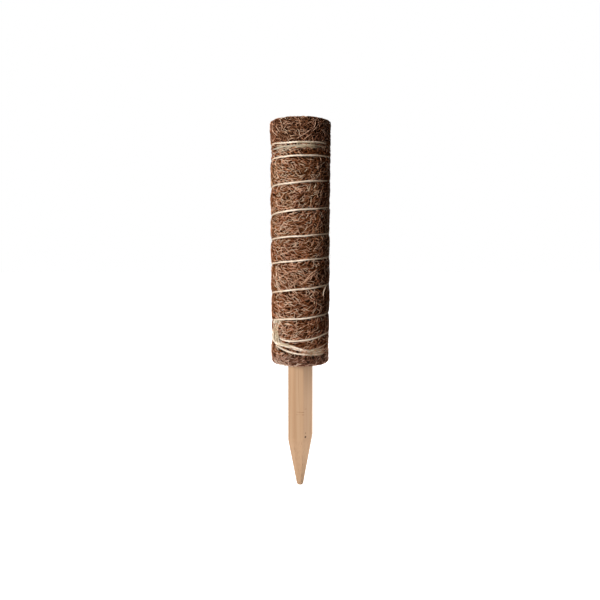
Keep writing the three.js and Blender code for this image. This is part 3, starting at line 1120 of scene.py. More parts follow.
@dataclass
class CoirColumn:
    """Felt of coconut fibre rolled round the tube: a dark body under layers of curled fibres.

    Attributes:
        surface: Outer skin of the coir.
        layers: Fibres, deepest first.
        finishes: Finish of each shade.
        felt_finish: Finish of the dark body: the felt's dark brown, darkened further as painted shade for the
            gaps.
        straws: Long loose fibres on top.
        combed: Long fibres that lie side by side on the skin.
        strays: Fibres that have worked their way over the twine.
        steps: Points along a fibre.
        body_depth: Depth of the dark body below the skin.
        mat_layers: Times that the felt goes round the tube.
        mat_edge: Thickness of the thinned edges of the felt.
        mat_slit: Gap between the felt's turns.
        mat_start: Angle at which the felt starts.
        lie: Swing of the felt's lie round the pole, in radians.
        tight_waves: Least and greatest length of a fibre's tight curls.
        slow_waves: Least and greatest length of its slow curls.
        bob: Least and greatest depth by which a fibre weaves in and out.
        bob_waves: Least and greatest length of that weave.
        end_dip: How deep the ends of a fibre dip into the felt.
        edge: Least distance of a fibre from the tube.
        furrow: Distances above a turn between which few fibres lie, less than nought below it.
        furrow_share: Share of the fibres that are missing there.
        swept: How steeply the fibres at the right front are swept up, in radians.
        swept_angle: Angle round the pole at which they are swept most.
        swept_width: Spread of the swept fibres to either side.
        dull_end: Length of the free top, whose fibres are more often a shade darker.
        dull_share: Share of its fibres, and of those at the left edge that take painted shade, that are one
            shade darker.
        painted_light_share: Share of the fibres at the lit left front that are drawn one shade paler, as
            painted light.
        right_shade_share: Share of the fibres at the shaded right front that are drawn one shade darker, as
            painted shade.
        front_turned: Angles at the right front between which the free top's fibres are duller, as painted
            shade.
        left_turned: Angle beyond which they are duller at the left, as painted shade.
        shaded_left: Angles to the left at which the painted shade at the left edge starts, is full, fades and
            ends.
        left_shade: How much duller that painted shade is than the free top.
        worn: Angles at which the painted shade on the right front starts, is full, fades and ends.
        painted_light: Angles at which the painted light on the left front starts, is full, fades and ends.
        tie_shade_areas: Painted shade by the ties: two angles, two heights and how many shades darker.
        per_piece: Most fibres in one piece.
        seed: Start of the random numbers.
    """

    surface: CoirSurface
    layers: tuple[FibreLayer, ...]
    finishes: tuple[FibreFinish, ...]
    felt_finish: FibreFinish
    straws: tuple[LooseStrand, ...]
    combed: tuple[LooseStrand, ...]
    strays: tuple[LooseStrand, ...]
    steps: int = 9
    body_depth: float = 0.85
    mat_layers: int = 2
    mat_edge: float = 1.3
    mat_slit: float = 0.35
    mat_start: float = 180
    lie: float = 0.5
    tight_waves: Range = (4.5, 9)
    slow_waves: Range = (11, 26)
    bob: Range = (0.03, 0.12)
    bob_waves: Range = (6, 14)
    end_dip: float = 0.7
    edge: float = 0.4
    furrow: Range = (-2.4, -0.6)
    furrow_share: float = 0.6
    swept: float = 0.35
    swept_angle: float = 28
    swept_width: float = 24
    dull_end: float = 18
    dull_share: float = 0.5
    painted_light_share: float = 0.6
    right_shade_share: float = 0.24
    front_turned: Range = (6, 42)
    left_turned: float = -42
    shaded_left: tuple[Range, Range] = ((56, 66), (150, 170))
    left_shade: float = 2.2
    worn: tuple[Range, Range] = ((4, 20), (50, 60))
    painted_light: tuple[Range, Range] = ((-58, -48), (-16, -2))
    tie_shade_areas: tuple[tuple[float, float, float, float, float], ...] = (
        (4, 80, 163.5, 169.5, 1.8),
        (-20, 60, 14, 19.5, 1.0),
        (6, 60, 142, 163.5, 0.5),
        (-60, 8, 175, 180.5, 1.0),
        (8, 50, 175, 182, 1.5),
        (40, 80, 22, 36, 0.7),
        (-22, 6, -1, 8, 0.6),
        (6, 70, -1, 8, 1.05),
    )
    per_piece: int = 3800
    seed: int = 11

    def build(self) -> list[bpy.types.Object]:
        """Make the felt and its fibres.

        Returns:
            All pieces of the column, the felt first.
        """
        felt, flat = self.make_felt()
        fibres = self.make_fibres()
        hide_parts("coir_mat")
        return [felt, *fibres]

    def make_felt(self) -> tuple[bpy.types.Object, Range]:
        """Roll the felt's dark body as one spiral sheet.

        Returns:
            The piece, and its flat width and length in metres.
        """
        bore = self.surface.bore
        plain = self.surface.radius - self.body_depth
        thickness = (plain - bore) / self.mat_layers
        thin = 360 * (self.mat_edge + self.mat_slit / 2) / thickness
        angles = np.arange(thin, 360 * (self.mat_layers + 1) - thin, 5.0)
        heights = np.linspace(self.body_depth * 0.5, self.surface.length - self.body_depth * 0.5, 110)
        angle, height = np.meshgrid(angles, heights)
        skin = plain + self.surface.unevenness(angle + self.mat_start, height)
        skin -= rounding(height - heights[0], self.surface.foot_round)
        skin -= rounding(heights[-1] - height, self.surface.top_round)
        outer = np.minimum(skin, bore + thickness * angle / 360 - self.mat_slit / 2)
        inner = np.maximum(bore, bore + thickness * (angle - 360) / 360 + self.mat_slit / 2)
        inner = np.minimum(inner, outer - 0.3)
        around = angle + self.mat_start
        outside = on_pole(around, outer, height)
        inside = on_pole(around, inner, height)
        middle = on_pole(angles + self.mat_start, (outer + inner)[len(heights) // 2] / 2, 0 * angles)
        length = np.linalg.norm(np.diff(middle, axis=0), axis=1).sum()
        sections = np.concatenate([outside, inside[::-1]], axis=0).transpose(1, 0, 2)
        parts = MeshParts()
        parts.add_grid(sections)
        last = sections.shape[0] * sections.shape[1] - sections.shape[1]
        half = len(heights)
        row = np.arange(half - 1)
        cap = np.stack([row, 2 * half - 1 - row, 2 * half - 2 - row, row + 1], axis=-1)
        parts.faces.append(cap[:, ::-1])
        parts.faces.append(cap + last)
        felt = dress(parts.build("coir_felt"), self.felt_finish.material())
        return felt, (length * MM, self.surface.length * MM)

    def grow(self, layer: FibreLayer, rng: np.random.Generator) -> Strands:
        """Lay the fibres of one layer along the skin, each with its own curl.

        Args:
            layer: Layer to lay.
            rng: Source of random numbers.

        Returns:
            Points, normals and radii of all fibres.
        """

        def draw(low: float, high: float) -> Array:
            """Return a random number for each fibre."""
            return rng.uniform(low, high, (layer.count, 1))

        def wave(swing: Range, lengths: Range) -> Array:
            """Return a wave along each fibre, with its own swing, length and start."""
            return draw(*swing) * np.sin(2 * math.pi * along / draw(*lengths) + draw(0, 6.28))

        length = draw(*layer.length)
        share = np.linspace(-1, 1, self.steps)[None, :]
        along = share * length / 2
        start_way, start_angle = self.strewn(layer.count, rng)
        lie = self.lie * np.sin(np.radians(start_angle) + 0.8 * np.sin(start_way / 17))
        lie = lie + rng.normal(0, layer.tangle, (layer.count, 1))
        aside = np.mod(start_angle - self.swept_angle + 180, 360) - 180
        lie = lie + self.swept * np.exp(-((aside / self.swept_width) ** 2))
        tight = wave((0.05, layer.curl), self.tight_waves)
        slow = wave((0.1, 2 * layer.curl), self.slow_waves)
        heading = lie + tight + slow + rng.normal(0, 0.05, (layer.count, 1)) * along
        step = length / (self.steps - 1)
        across = np.cumsum(np.cos(heading) * step, axis=1)
        up = np.cumsum(np.sin(heading) * step, axis=1)
        middle = self.steps // 2
        across = across - across[:, middle : middle + 1]
        up = up - up[:, middle : middle + 1]
        low, high = self.edge, self.surface.way - self.edge
        bob = wave(self.bob, self.bob_waves)
        depth = draw(*layer.depth) + bob + self.end_dip * np.abs(share) ** 6
        way = start_way + up
        way = np.where(way < low, 2 * low - way, way)
        way = np.clip(np.where(way > high, 2 * high - way, way), low, high)
        radius_here = np.maximum(self.surface.profile(way)[0], self.surface.bore)
        angle = start_angle + np.degrees(across / radius_here)
        points, normals = self.surface.points(angle, way, depth)
        return points, normals, draw(*layer.radius) * (1 - 0.45 * np.abs(share) ** 3)

    def strewn(self, count: int, rng: np.random.Generator) -> tuple[Array, Array]:
        """Strew places evenly over the skin, one in each cell of a grid.

        Args:
            count: Number of places.
            rng: Source of random numbers.

        Returns:
            The way over the skin and the angle of each place.
        """
        girth = 2 * math.pi * self.surface.radius
        columns = max(round(math.sqrt(count * girth / self.surface.way)), 1)
        rows = -(-count // columns)
        cells = rng.permutation(rows * columns)[:count]
        way = (cells // columns + rng.uniform(0, 1, count)) * self.surface.way / rows
        angle = (cells % columns + rng.uniform(0, 1, count)) * 360 / columns
        return way[:, None], angle[:, None]

    def lay_loose(self, loose: tuple[LooseStrand, ...]) -> Strands:
        """Lay fibres that lie loose over the skin.

        Args:
            loose: The fibres.

        Returns:
            Their points, normals and radii.
        """
        paths = []
        for straw in loose:
            places = smooth_path(np.array(straw.places), self.steps)
            way = places[:, 1] + self.surface.side_start
            paths.append(self.surface.points(places[:, 0], way, -places[:, 2]))
        points = np.stack([path[0] for path in paths])
        normals = np.stack([path[1] for path in paths])
        thick = np.array([[straw.radius] for straw in loose])
        return points, normals, thick * (1 - 0.5 * np.abs(np.linspace(-1, 1, self.steps)) ** 4)

    def kept(self, places: Array, rng: np.random.Generator) -> Array:
        """Choose which fibres stay, since few lie in the furrow right under the twine.

        Args:
            places: Middles of the fibres.
            rng: Source of random numbers.

        Returns:
            Whether each fibre stays.
        """
        low, high = self.furrow
        above = self.surface.winding.distance(self.angles(places), places[:, 2])
        in_furrow = (above > low) & (above < high)
        return ~in_furrow | (rng.random(len(places)) > self.furrow_share)

    @staticmethod
    def angles(places: Array) -> Array:
        """Return the degrees from the front of places on the pole."""
        return np.degrees(np.arctan2(places[:, 0], -places[:, 1]))

    def painted_shading(self, places: Array) -> tuple[Array, Array]:
        """Tell how likely fibres are drawn a tone darker, mostly as painted shade, or a tone paler, as
        painted light.

        Args:
            places: Middles of the fibres.

        Returns:
            The chances that each is a shade darker, and a shade paler.
        """
        angle = self.angles(places)
        height = places[:, 2]
        free_end = height > self.surface.length - self.dull_end
        # The free top is drawn darker, and as painted shade more so at its right front and far left.
        first, last = self.front_turned
        turned_away = 1 + ((angle > first) & (angle < last)) + (angle < self.left_turned)
        # Painted shade: fibres at the left edge and beyond are drawn darker.
        shaded_left = self.left_shade * between(-angle, *self.shaded_left)
        dull = self.dull_share * np.maximum(turned_away * free_end, shaded_left)
        # Painted shade: fibres at the right front, which lies in shade, are drawn a tone darker.
        dull = np.maximum(dull, self.right_shade_share * between(angle, *self.worn))
        # Painted shade: areas by the ties, where shade falls, are drawn darker.
        for first, last, low, high, darker in self.tie_shade_areas:
            tie_shade_areas = (angle > first) & (angle < last) & (height > low) & (height < high)
            dull = np.where(tie_shade_areas, np.maximum(dull, darker), dull)
        # Painted light: fibres at the lit left front, below the free top, are drawn a tone paler.
        return dull, self.painted_light_share * between(angle, *self.painted_light) * ~free_end

    def sorted_fibres(self) -> dict[Tone, list[Strands]]:
        """Grow every layer and sort its fibres by shade.

        Returns:
            The fibres of each shade.
        """
        rng = np.random.default_rng(self.seed)
        by_tone: dict[Tone, list[Strands]] = {tone: [] for tone in Tone}
        for layer in self.layers:
            grown = self.grow(layer, rng)
            kept = self.kept(grown[0][:, self.steps // 2], rng)
            points, normals, radii = (values[kept] for values in grown)
            tones = list(layer.tones)
            weights = np.array([layer.tones[tone] for tone in tones])
            pick = rng.choice(len(tones), len(points), p=weights / weights.sum())
            chance = rng.random(len(points))
            # Draw fibres a tone darker or paler by their place round the pole: painted shade and painted
            # light.
            dull, painted_light = self.painted_shading(points[:, self.steps // 2])
            darker = np.floor(dull + 1 - chance).astype(int)
            shift = np.where(darker > 0, -darker, chance > 1 - painted_light)
            pick = np.clip(pick + shift, 0, len(tones) - 1)
            for index, tone in enumerate(tones):
                chosen = pick == index
                by_tone[tone].append((points[chosen], normals[chosen], radii[chosen]))
        by_tone[Tone.TAN].append(self.lay_loose(self.straws))
        by_tone[Tone.TAN].append(self.lay_loose(self.combed))
        by_tone[Tone.RUSSET].append(self.lay_loose(self.strays))
        return by_tone

    def make_fibres(self) -> list[bpy.types.Object]:
        """Make the fibres of each shade.

        Returns:
            Pieces of fibre, each of at most per_piece fibres. Pieces of fibre, none too
            large to export whole.
        """
        by_tone = self.sorted_fibres()
        pieces = []
        for finish in self.finishes:
            blocks = by_tone[finish.tone]
            points, normals, radii = (np.concatenate([block[part] for block in blocks]) for part in range(3))
            material = finish.material()
            lots = np.array_split(np.arange(len(points)), -(-len(points) // self.per_piece))
            for number, chosen in enumerate(lots):
                mesh = strands(points[chosen], normals[chosen], radii[chosen], 3)
                piece = mesh.build(f"coir_fibres_{finish.tone.value}_{number + 1}")
                pieces.append(dress(piece, material))
        return pieces


@dataclass
class TwineBinding:
    """Cream twine: the long wrap, the tie-off bundle, the hitch at the top and the loose yarn about them.

    Attributes:
        winding: Way of the wrap.
        finish: Finish of the wrap.
        clean_finish: Finish of loose yarn that has stayed clean.
        soiled_finish: Finish of yarn that has taken on the colour of the coir.
        loose: Single yarns that lie loose about the ties.
        plies: Yarns twisted into the twine.
        ply_radius: Radius of one yarn.
        ply_offset: Distance of a yarn from the twine's middle.
        lay: Length of one twist.
        sides: Corners of a yarn's section.
        spacing: Distance of points along the twine.
        right_lift: How far the wrap lies out at the right.
        left_lift: How far it lies out at the left.
        gather_rise: How far the first turn is gathered up at its end.
        gather_turns: Turn at which that starts, and how many turns it takes.
        hitch_step: Distance between strands of a hitch.
        hitch_dive: Rise over which a strand sinks into the coir.
        hitch_tuck: Length that stays tucked in.
        over: How far a strand lies out when it crosses a turn.
        under: How far it lies in when it passes below one.
        tie_off_angle: Angle of the tie-off's middle.
        tie_off_turned: Degrees by which its strands lie beside that.
        tie_off_strands: Number of its strands.
        tie_off_rise: Height of its lower bends over the foot tie.
        tie_off_waist: How much narrower it is at its middle.
        tie_off_sink: How much less than other strands it lies out.
        top_hitch_angle: Angle at which the top hitch is tucked in.
        top_hitch_length: How far it reaches to the left of that.
        top_hitch_corner: Radius of its inner corner.
        top_hitch_step: Distance between its two strands.
        top_hitch_rise: How far it lies above the middle of the tie.
        top_hitch_sink: How much less than other strands it lies out.
        top_hitch_dive: How far it dives at its tucked end.
        top_hitch_reach: Length over which it dives.
        hairs: Number of fuzz hairs.
        hair_length: Least and greatest length of a hair.
        hair_radius: Least and greatest radius of a hair.
        seed: Start of the random numbers.
    """

    winding: Winding
    finish: TwineFinish
    clean_finish: TwineFinish
    soiled_finish: TwineFinish
    loose: tuple[LooseStrand, ...]
    plies: int = 3
    ply_radius: float = 0.36
    ply_offset: float = 0.34
    lay: float = 7.5
    sides: int = 7
    spacing: float = 0.6
    right_lift: float = 0.55
    left_lift: float = 0.45
    gather_rise: float = 0.7
    gather_turns: Range = (0.72, 0.45)
    hitch_step: float = 3.7
    hitch_dive: float = 5.5
    hitch_tuck: float = 3
    over: float = 1.75
    under: float = 2.2
    tie_off_angle: float = -55
    tie_off_turned: float = -2
    tie_off_strands: int = 3
    tie_off_rise: float = 2.6
    tie_off_waist: float = 0.45
    tie_off_sink: float = 0.7
    top_hitch_angle: float = 42
    top_hitch_length: float = 19
    top_hitch_corner: float = 2
    top_hitch_step: float = 2.6
    top_hitch_rise: float = 0.4
    top_hitch_sink: float = 1.1
    top_hitch_dive: float = 2.2
    top_hitch_reach: float = 7
    hairs: int = 1500
    hair_length: Range = (1.5, 4.5)
    hair_radius: Range = (0.05, 0.09)
    seed: int = 5

    def build(self) -> list[bpy.types.Object]:
        """Make all twine.

        Returns:
            The pieces of twine.
        """
        material = self.finish.material()
        wrap = self.wrap_path()
        meshes = {
            "twine_wrap": self.twisted(wrap),
            "twine_tie_off": self.twisted(self.tie_off_path()),
            "twine_top_hitch": self.twisted(self.top_hitch_path()),
        }
        soiled_material = self.soiled_finish.material()
        pieces = []
        for node, mesh in meshes.items():
            worn = material if node == "twine_wrap" else soiled_material
            piece = dress(mesh.build(f"{node}_yarn"), worn)
            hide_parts(node)
            pieces.append(piece)
        clean_material = self.clean_finish.material()
        for name, finish, soiled in (("clean", clean_material, False), ("soiled", soiled_material, True)):
            pieces.append(dress(self.loose_yarn(soiled).build(f"twine_loose_{name}"), finish))
        pieces.append(dress(self.fuzz(wrap).build("twine_fuzz"), material))
        return pieces

    def wrap_path(self) -> Array:
        """Lay the long wrap.

        Returns:
            The points of its middle.
        """
        winding = self.winding
        turns = winding.last_turn + 2 * winding.loose_end
        count = int(turns * 2 * math.pi * winding.radius / self.spacing)
        turn = np.linspace(-winding.loose_end, winding.last_turn + winding.loose_end, count)
        wobble = 0.12 * np.sin(turn * 23.1) + 0.1 * np.sin(turn * 41.7 + 1)
        start, span = self.gather_turns
        gathered = self.gather_rise * np.sin(np.clip((turn - start) / span, 0, 1) * math.pi) ** 2
        right = self.right_lift * winding.loose_side(360 * turn)
        left = self.left_lift * winding.eased_side(360 * turn)
        radius = winding.radius + 0.1 * np.sin(turn * 31) - self.buried(turn) + right + left
        return on_pole(360 * turn, radius, winding.height(turn) + wobble + gathered)

    def buried(self, turn: Array) -> Array:
        """Find how deep the wrap lies under loose yarn and fibre at the ties.

        Args:
            turn: Turns to measure at.

        Returns:
            The depth at each turn.
        """
        first, last = self.winding.top_turn, self.winding.last_turn
        front = math.ceil(first)
        runs = (
            (0.6, (first, first + 0.2), (last - 0.7, last - 0.5)),
            (0.9, (front - 0.2, front - 0.16), (front + 0.2, front + 0.3)),
            (0.9, (0.9, 0.97), (1.1, 1.2)),
        )
        depth = sum(deep * between(turn, rise, fall) for deep, rise, fall in runs)
        foot_turns = self.winding.foot_turns
        at_foot = 1 - smoothstep(turn, foot_turns + 0.3, foot_turns + 0.4)
        return depth + 0.7 * at_foot * smoothstep(np.sin(2 * math.pi * turn), 0.1, 0.4)

    def sunk(self, height: Array, tuck: float, dive: float) -> Array:
        """Return the distance from the axis of a hitch's strand that sinks in above a height."""
        share = smoothstep(height, tuck, tuck + dive)
        return self.winding.radius + self.over - (self.over + self.under) * share

    def respaced(self, points: Array) -> Array:
        """Lay a path through points at the twine's own spacing.

        Args:
            points: Points of the path, flat or in space.

        Returns:
            The points of the new path.
        """
        runs = runs_along(points)
        places = np.linspace(0, runs[-1], max(int(runs[-1] / self.spacing), 4))
        return np.stack([np.interp(places, runs, values) for values in points.T], axis=-1)

    def tie_off_path(self) -> Array:
        """Lay the upright strands that are tucked under a turn at the lower left.

        Returns:
            The points of their middle.
        """
        winding = self.winding
        middle = self.tie_off_angle
        tuck_turn = float(winding.height(winding.foot_turns + winding.opening + middle / 360))
        low = float(winding.height(winding.foot_turns + middle / 360)) + self.tie_off_rise
        high = tuck_turn + self.hitch_tuck
        bend = self.hitch_step / 2
        across: list[Array] = []
        heights: list[Array] = []
        for strand in range(self.tie_off_strands):
            start = (strand - (self.tie_off_strands - 1) / 2) * self.hitch_step
            rising = strand % 2 == 0
            ends = (low + bend, high - bend) if rising else (high - bend, low + bend)
            heights.append(np.linspace(*ends, 30))
            across.append(np.full(30, start))
            if strand < self.tie_off_strands - 1:
                turn = np.linspace(0, math.pi, 12)[1:-1]
                across.append(start + bend * (1 - np.cos(turn)))
                heights.append(ends[1] + bend * np.sin(turn) * (1 if rising else -1))
        height = np.concatenate(heights)
        sinking = tuck_turn - winding.twine / 2 - self.hitch_dive
        radius = self.sunk(height, sinking, self.hitch_dive) - self.tie_off_sink
        share = np.clip((height - low) / (tuck_turn - low), 0, 1)
        waist = 1 - self.tie_off_waist * np.sin(share * math.pi) ** 2
        beside = np.degrees(np.concatenate(across) * waist / (winding.radius + self.over))
        return self.respaced(on_pole(middle + self.tie_off_turned + beside, radius, height))

    def top_hitch_path(self) -> Array:
        """Lay the loop that lies along the top tie and is tucked in above it.

        Returns:
            The points of its middle.
        """
        winding = self.winding
        right = self.top_hitch_angle / 360
        high = float(winding.height(winding.last_turn + right))
        middle = (high + float(winding.height(math.ceil(winding.top_turn) + right))) / 2
        tuck = high - winding.twine / 2
        end = tuck + self.hitch_tuck
        half = self.top_hitch_step / 2
        middle = middle + self.top_hitch_rise
        legs = []
        for side in (-1, 1):
            bend = self.top_hitch_corner + (0 if side < 0 else self.top_hitch_step)
            low = middle - side * half
            turn = np.linspace(0, math.pi / 2, 10)
            inward = side * half - bend * (1 - np.cos(turn))
            corner = np.stack([inward, low + bend * (1 - np.sin(turn))], axis=-1)
            legs.append(np.concatenate([[[side * half, end]], corner, [[-self.top_hitch_length, low]]]))
        turn = np.linspace(0, math.pi, 12)[1:-1]
        loop = np.stack([-self.top_hitch_length - half * np.sin(turn), middle + half * np.cos(turn)], axis=-1)
        across, height = self.respaced(np.concatenate([legs[0], loop, legs[1][::-1]])).T
        angle = self.top_hitch_angle + np.degrees(across / (winding.radius + self.over))
        dive = self.top_hitch_dive * smoothstep(across, -self.top_hitch_reach, 0)
        radius = self.sunk(height, tuck, self.hitch_tuck) - self.top_hitch_sink - dive
        return on_pole(angle, radius, height)

    def twisted(self, path: Array) -> MeshParts:
        """Twist yarns along a path.

        Args:
            path: Points of the twine's middle.

        Returns:
            The mesh of the yarns.
        """
        along = unit(np.gradient(path, axis=0))
        side = unit(np.cross(along, outward(path)))
        rise = np.cross(side, along)
        runs = runs_along(path)
        yarns = []
        for ply in range(self.plies):
            turn = 2 * math.pi * (runs / self.lay + ply / self.plies)
            aside = np.cos(turn)[:, None] * rise + np.sin(turn)[:, None] * side
            yarns.append(path + self.ply_offset * aside)
        points = np.stack(yarns)
        normals = np.broadcast_to(rise, points.shape)
        radii = np.full(points.shape[:2], self.ply_radius)
        return strands(points, normals, radii, self.sides)

    def loose_yarn(self, soiled: bool) -> MeshParts:
        """Lay the single yarns that have come loose from the ties.

        Args:
            soiled: Whether to lay the soiled yarns or the clean ones.

        Returns:
            The mesh of all of them.
        """
        parts = MeshParts()
        for strand in self.loose:
            if strand.soiled != soiled:
                continue
            places = smooth_path(np.array(strand.places), 60)
            path = self.respaced(on_pole(places[:, 0], self.winding.radius + places[:, 2], places[:, 1]))
            ends = np.abs(np.linspace(-1, 1, len(path)))
            radii = strand.radius * (1 - 0.5 * ends**8)
            parts.merge(strands(path[None], outward(path)[None], radii[None], self.sides))
        return parts

    def fuzz(self, path: Array) -> MeshParts:
        """Stand fine hairs off the wrap.

        Args:
            path: Points of the wrap's middle.

        Returns:
            The mesh of the hairs.
        """
        rng = np.random.default_rng(self.seed)
        start = rng.integers(2, len(path) - 2, self.hairs)
        along = unit(path[start + 1] - path[start - 1]) * rng.choice([-1, 1], (self.hairs, 1))
        away = outward(path[start])
        sideways = np.cross(along, away) * rng.uniform(-1, 1, (self.hairs, 1))
        lift = sideways + away * rng.uniform(0.2, 0.7, (self.hairs, 1))
        share = np.linspace(0, 1, 6)[None, :, None]
        length = rng.uniform(*self.hair_length, (self.hairs, 1, 1))
        root = path[start] + self.ply_offset * unit(lift)
        rise = share**1.5 * 0.55 * unit(lift)[:, None, :]
        points = root[:, None, :] + length * (share * along[:, None, :] + rise)
        normals = np.broadcast_to(away[:, None, :], points.shape)
        radii = rng.uniform(*self.hair_radius, (self.hairs, 1)) * (1 - 0.6 * share[:, :, 0])
        return strands(points, normals, radii, 3)


@dataclass
class WoodenStake:
    """Eight-sided stake with softened corners and a blunt point.

    Attributes:
        finish: Finish of the wood.
        flats: Width across the flats.
        exposed: Length below the coir.
        seat: Length inside the tube.
        point: Length of the tapered point.
        tip_flats: Width across the flats at the tip.
        tip_aside: How far the point was cut off the stake's axis.
        tip_round: Rise over the tip, and what is added to the width there, of each row of its rounding.
        top_chamfer: Chamfer of the upper end.
        turn: Angle of the front flat.
        corner: Rounding of the long corners.
        sides: Number of flats.
        across: Points across a flat.
        tip_end: Height over the tip at which its rounding ends.
        point_rows: Sections of the point.
        shaft_gap: Height between the point and the first section above it.
        shaft_rows: Sections above the point.
    """

    finish: WoodFinish
    flats: float
    exposed: float
    seat: float
    point: float = 41
    tip_flats: float = 5
    tip_aside: float = -0.37
    tip_round: tuple[tuple[float, float], ...] = ((0, -1.8), (0.15, -0.9), (0.5, -0.25), (1.0, 0.2))
    top_chamfer: float = 0.9
    turn: float = -10
    corner: float = 0.7
    sides: int = 8
    across: int = 12
    tip_end: float = 2.4
    point_rows: int = 48
    shaft_gap: float = 0.8
    shaft_rows: int = 90

    def build(self) -> bpy.types.Object:
        """Make the stake.

        Returns:
            The piece.
        """
        rows = []
        for height, width, aside in self.levels():
            section = self.trimmed(self.section(width) + np.array([aside, 0.0]))
            rows.append(np.column_stack([section, np.full(len(section), height)]))
        grid = np.stack(rows)
        parts = MeshParts()
        parts.add_grid(grid)
        count = len(rows[0])
        parts.faces.append(np.arange(count)[None, ::-1])
        parts.faces.append((np.arange(count) + (len(rows) - 1) * count)[None, :])
        piece = dress(parts.build("stake_body"), self.finish.material())
        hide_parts("wooden_stake")
        return piece

    def levels(self) -> list[Place]:
        """Set out the stake's sections from the tip up.

        Returns:
            Height of each section, its width across the flats and how far it lies aside.
        """
        tip = -self.exposed
        growth = (self.flats - self.tip_flats) / self.point
        shoulder = self.point + 2 * abs(self.tip_aside) / growth
        levels = [(tip + rise, self.tip_flats + wider, self.tip_aside) for rise, wider in self.tip_round]
        for rise in np.linspace(self.tip_end, shoulder, self.point_rows):
            levels.append((tip + rise, self.tip_flats + growth * rise, self.tip_aside))
        shaft = np.linspace(tip + shoulder + self.shaft_gap, self.seat - self.top_chamfer, self.shaft_rows)
        levels.extend((height, self.flats, 0.0) for height in shaft)
        levels.append((self.seat, self.flats - 2 * self.top_chamfer, 0.0))
        return levels

    def facings(self) -> Array:
        """Return the directions that the flats face."""
        turns = math.radians(self.turn) - math.pi / 2 + np.arange(self.sides) * 2 * math.pi / self.sides
        return np.stack([np.cos(turns), np.sin(turns)], axis=-1)

    def trimmed(self, section: Array) -> Array:
        """Cut a section back to the flats of the stake.

        Args:
            section: Points of the section, x and y.

        Returns:
            The points that are left.
        """
        for facing in self.facings():
            section = section - np.maximum(section @ facing - self.flats / 2, 0)[:, None] * facing
        return section

    def section(self, width: float) -> Array:
        """Return the corners of one section, with its long corners rounded.

        Args:
            width: Width across the flats.

        Returns:
            Points of the section, x and y.
        """
        half = width / 2
        step = 2 * math.pi / self.sides
        round_radius = min(self.corner, half * 0.4)
        corner_distance = (half - round_radius) / math.cos(step / 2)
        reach = (half - round_radius) * math.tan(step / 2)
        points = []
        for normal in self.facings():
            facing = math.atan2(normal[1], normal[0])
            tangent = np.array([-normal[1], normal[0]])
            for place in np.linspace(-reach, reach, self.across):
                points.append(normal * half + tangent * place)
            corner = facing + step / 2
            centre = corner_distance * np.array([math.cos(corner), math.sin(corner)])
            for share in (0.25, 0.5, 0.75):
                aim = facing + share * step
                points.append(centre + round_radius * np.array([math.cos(aim), math.sin(aim)]))
        return np.array(points)


@dataclass
class CoreTube:
    """Plastic tube in the middle of the coir, open at both ends.

    Attributes:
        finish: Finish of the plastic.
        radius: Outer radius.
        wall: Thickness of the wall.
        low: Height of the lower end.
        high: Height of the upper end.
        rim: Rounding of the rims.
        sides: Steps round the tube.
    """

    finish: PlasticFinish
    radius: float
    wall: float
    low: float
    high: float
    rim: float = 0.35
    sides: int = 96

    def build(self) -> bpy.types.Object:
        """Make the tube.

        Returns:
            The piece.
        """
        inner = self.radius - self.wall
        corners = (
            (self.radius - self.rim, self.low + self.rim, -90),
            (self.radius - self.rim, self.high - self.rim, 0),
            (inner + self.rim, self.high - self.rim, 90),
            (inner + self.rim, self.low + self.rim, 180),
        )
        profile = []
        for radius, height, start in corners:
            for turn in np.radians(start + np.linspace(0, 90, 5)):
                profile.append((radius + self.rim * math.cos(turn), height + self.rim * math.sin(turn)))
        angles = np.arange(self.sides) * (360 / self.sides)
        rows = [on_pole(angles, radius, height) for radius, height in profile]
        parts = MeshParts()
        parts.add_grid(np.stack(rows + rows[:1]))
        piece = self.welded(parts.build("core_tube_shell"))
        dress(piece, self.finish.material())
        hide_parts("core_tube")
        return piece

    def welded(self, piece: bpy.types.Object) -> bpy.types.Object:
        """Join the profile's end to its start.

        Args:
            piece: Piece to mend.

        Returns:
            The same piece.
        """
        work = bmesh.new()
        work.from_mesh(piece.data)
        bmesh.ops.remove_doubles(work, verts=work.verts, dist=1e-6)
        work.to_mesh(piece.data)
        work.free()
        return piece


@dataclass
class StakeNails:
    """Two brads that hold the stake in the tube.

    Attributes:
        finish: Finish of the steel.
    """

    finish: SteelFinish

    def dress(self) -> None:
        """Give the brads of the frame their material."""
        material = self.finish.material()
        for name in ("stake_nail_lower", "stake_nail_upper"):
            node = bpy.data.objects[name]
            node.data.materials.clear()
            node.data.materials.append(material)
            LOG.info("%s: kept from the frame", name)


class LampKind(Enum):
    """Kinds of studio lamp."""

    SOFTBOX = "AREA"
    SPOT = "SPOT"


@dataclass(frozen=True)
class Lamp:
    """One studio lamp.

    Attributes:
        name: Name of the lamp.
        kind: Kind of the lamp.
        place: Where it hangs, in metres.
        power: Power in watts.
        size: Side of a softbox's face or radius of a spot's bulb, in metres.
        target: Where it aims, in metres.
        tint: Colour of its light.
        cone: Angle of a spot's cone, in degrees.
        edge: Softness of the cone's edge.
    """

    name: str
    kind: LampKind
    place: Place
    power: float
    size: float
    target: Place = (0, 0, 0.05)
    tint: Place = (1.0, 1.0, 1.0)
    cone: float = 0.0
    edge: float = 0.15

    def hang(self) -> None:
        """Put the lamp in its place and turn it to its target."""
        lamp = bpy.data.lights.new(f"studio_{self.name}", self.kind.value)
        lamp.energy = self.power
        lamp.color = self.tint
        if self.kind is LampKind.SPOT:
            lamp.spot_size = math.radians(self.cone)
            lamp.spot_blend = self.edge
            lamp.shadow_soft_size = self.size
        else:
            lamp.size = self.size
        holder = bpy.data.objects.new(lamp.name, lamp)
        holder.location = self.place
        aim = [end - start for end, start in zip(self.target, self.place)]
        level = math.hypot(aim[0], aim[1])
        holder.rotation_euler = (math.atan2(level, -aim[2]), 0, math.atan2(-aim[0], aim[1]))
        bpy.context.scene.collection.objects.link(holder)


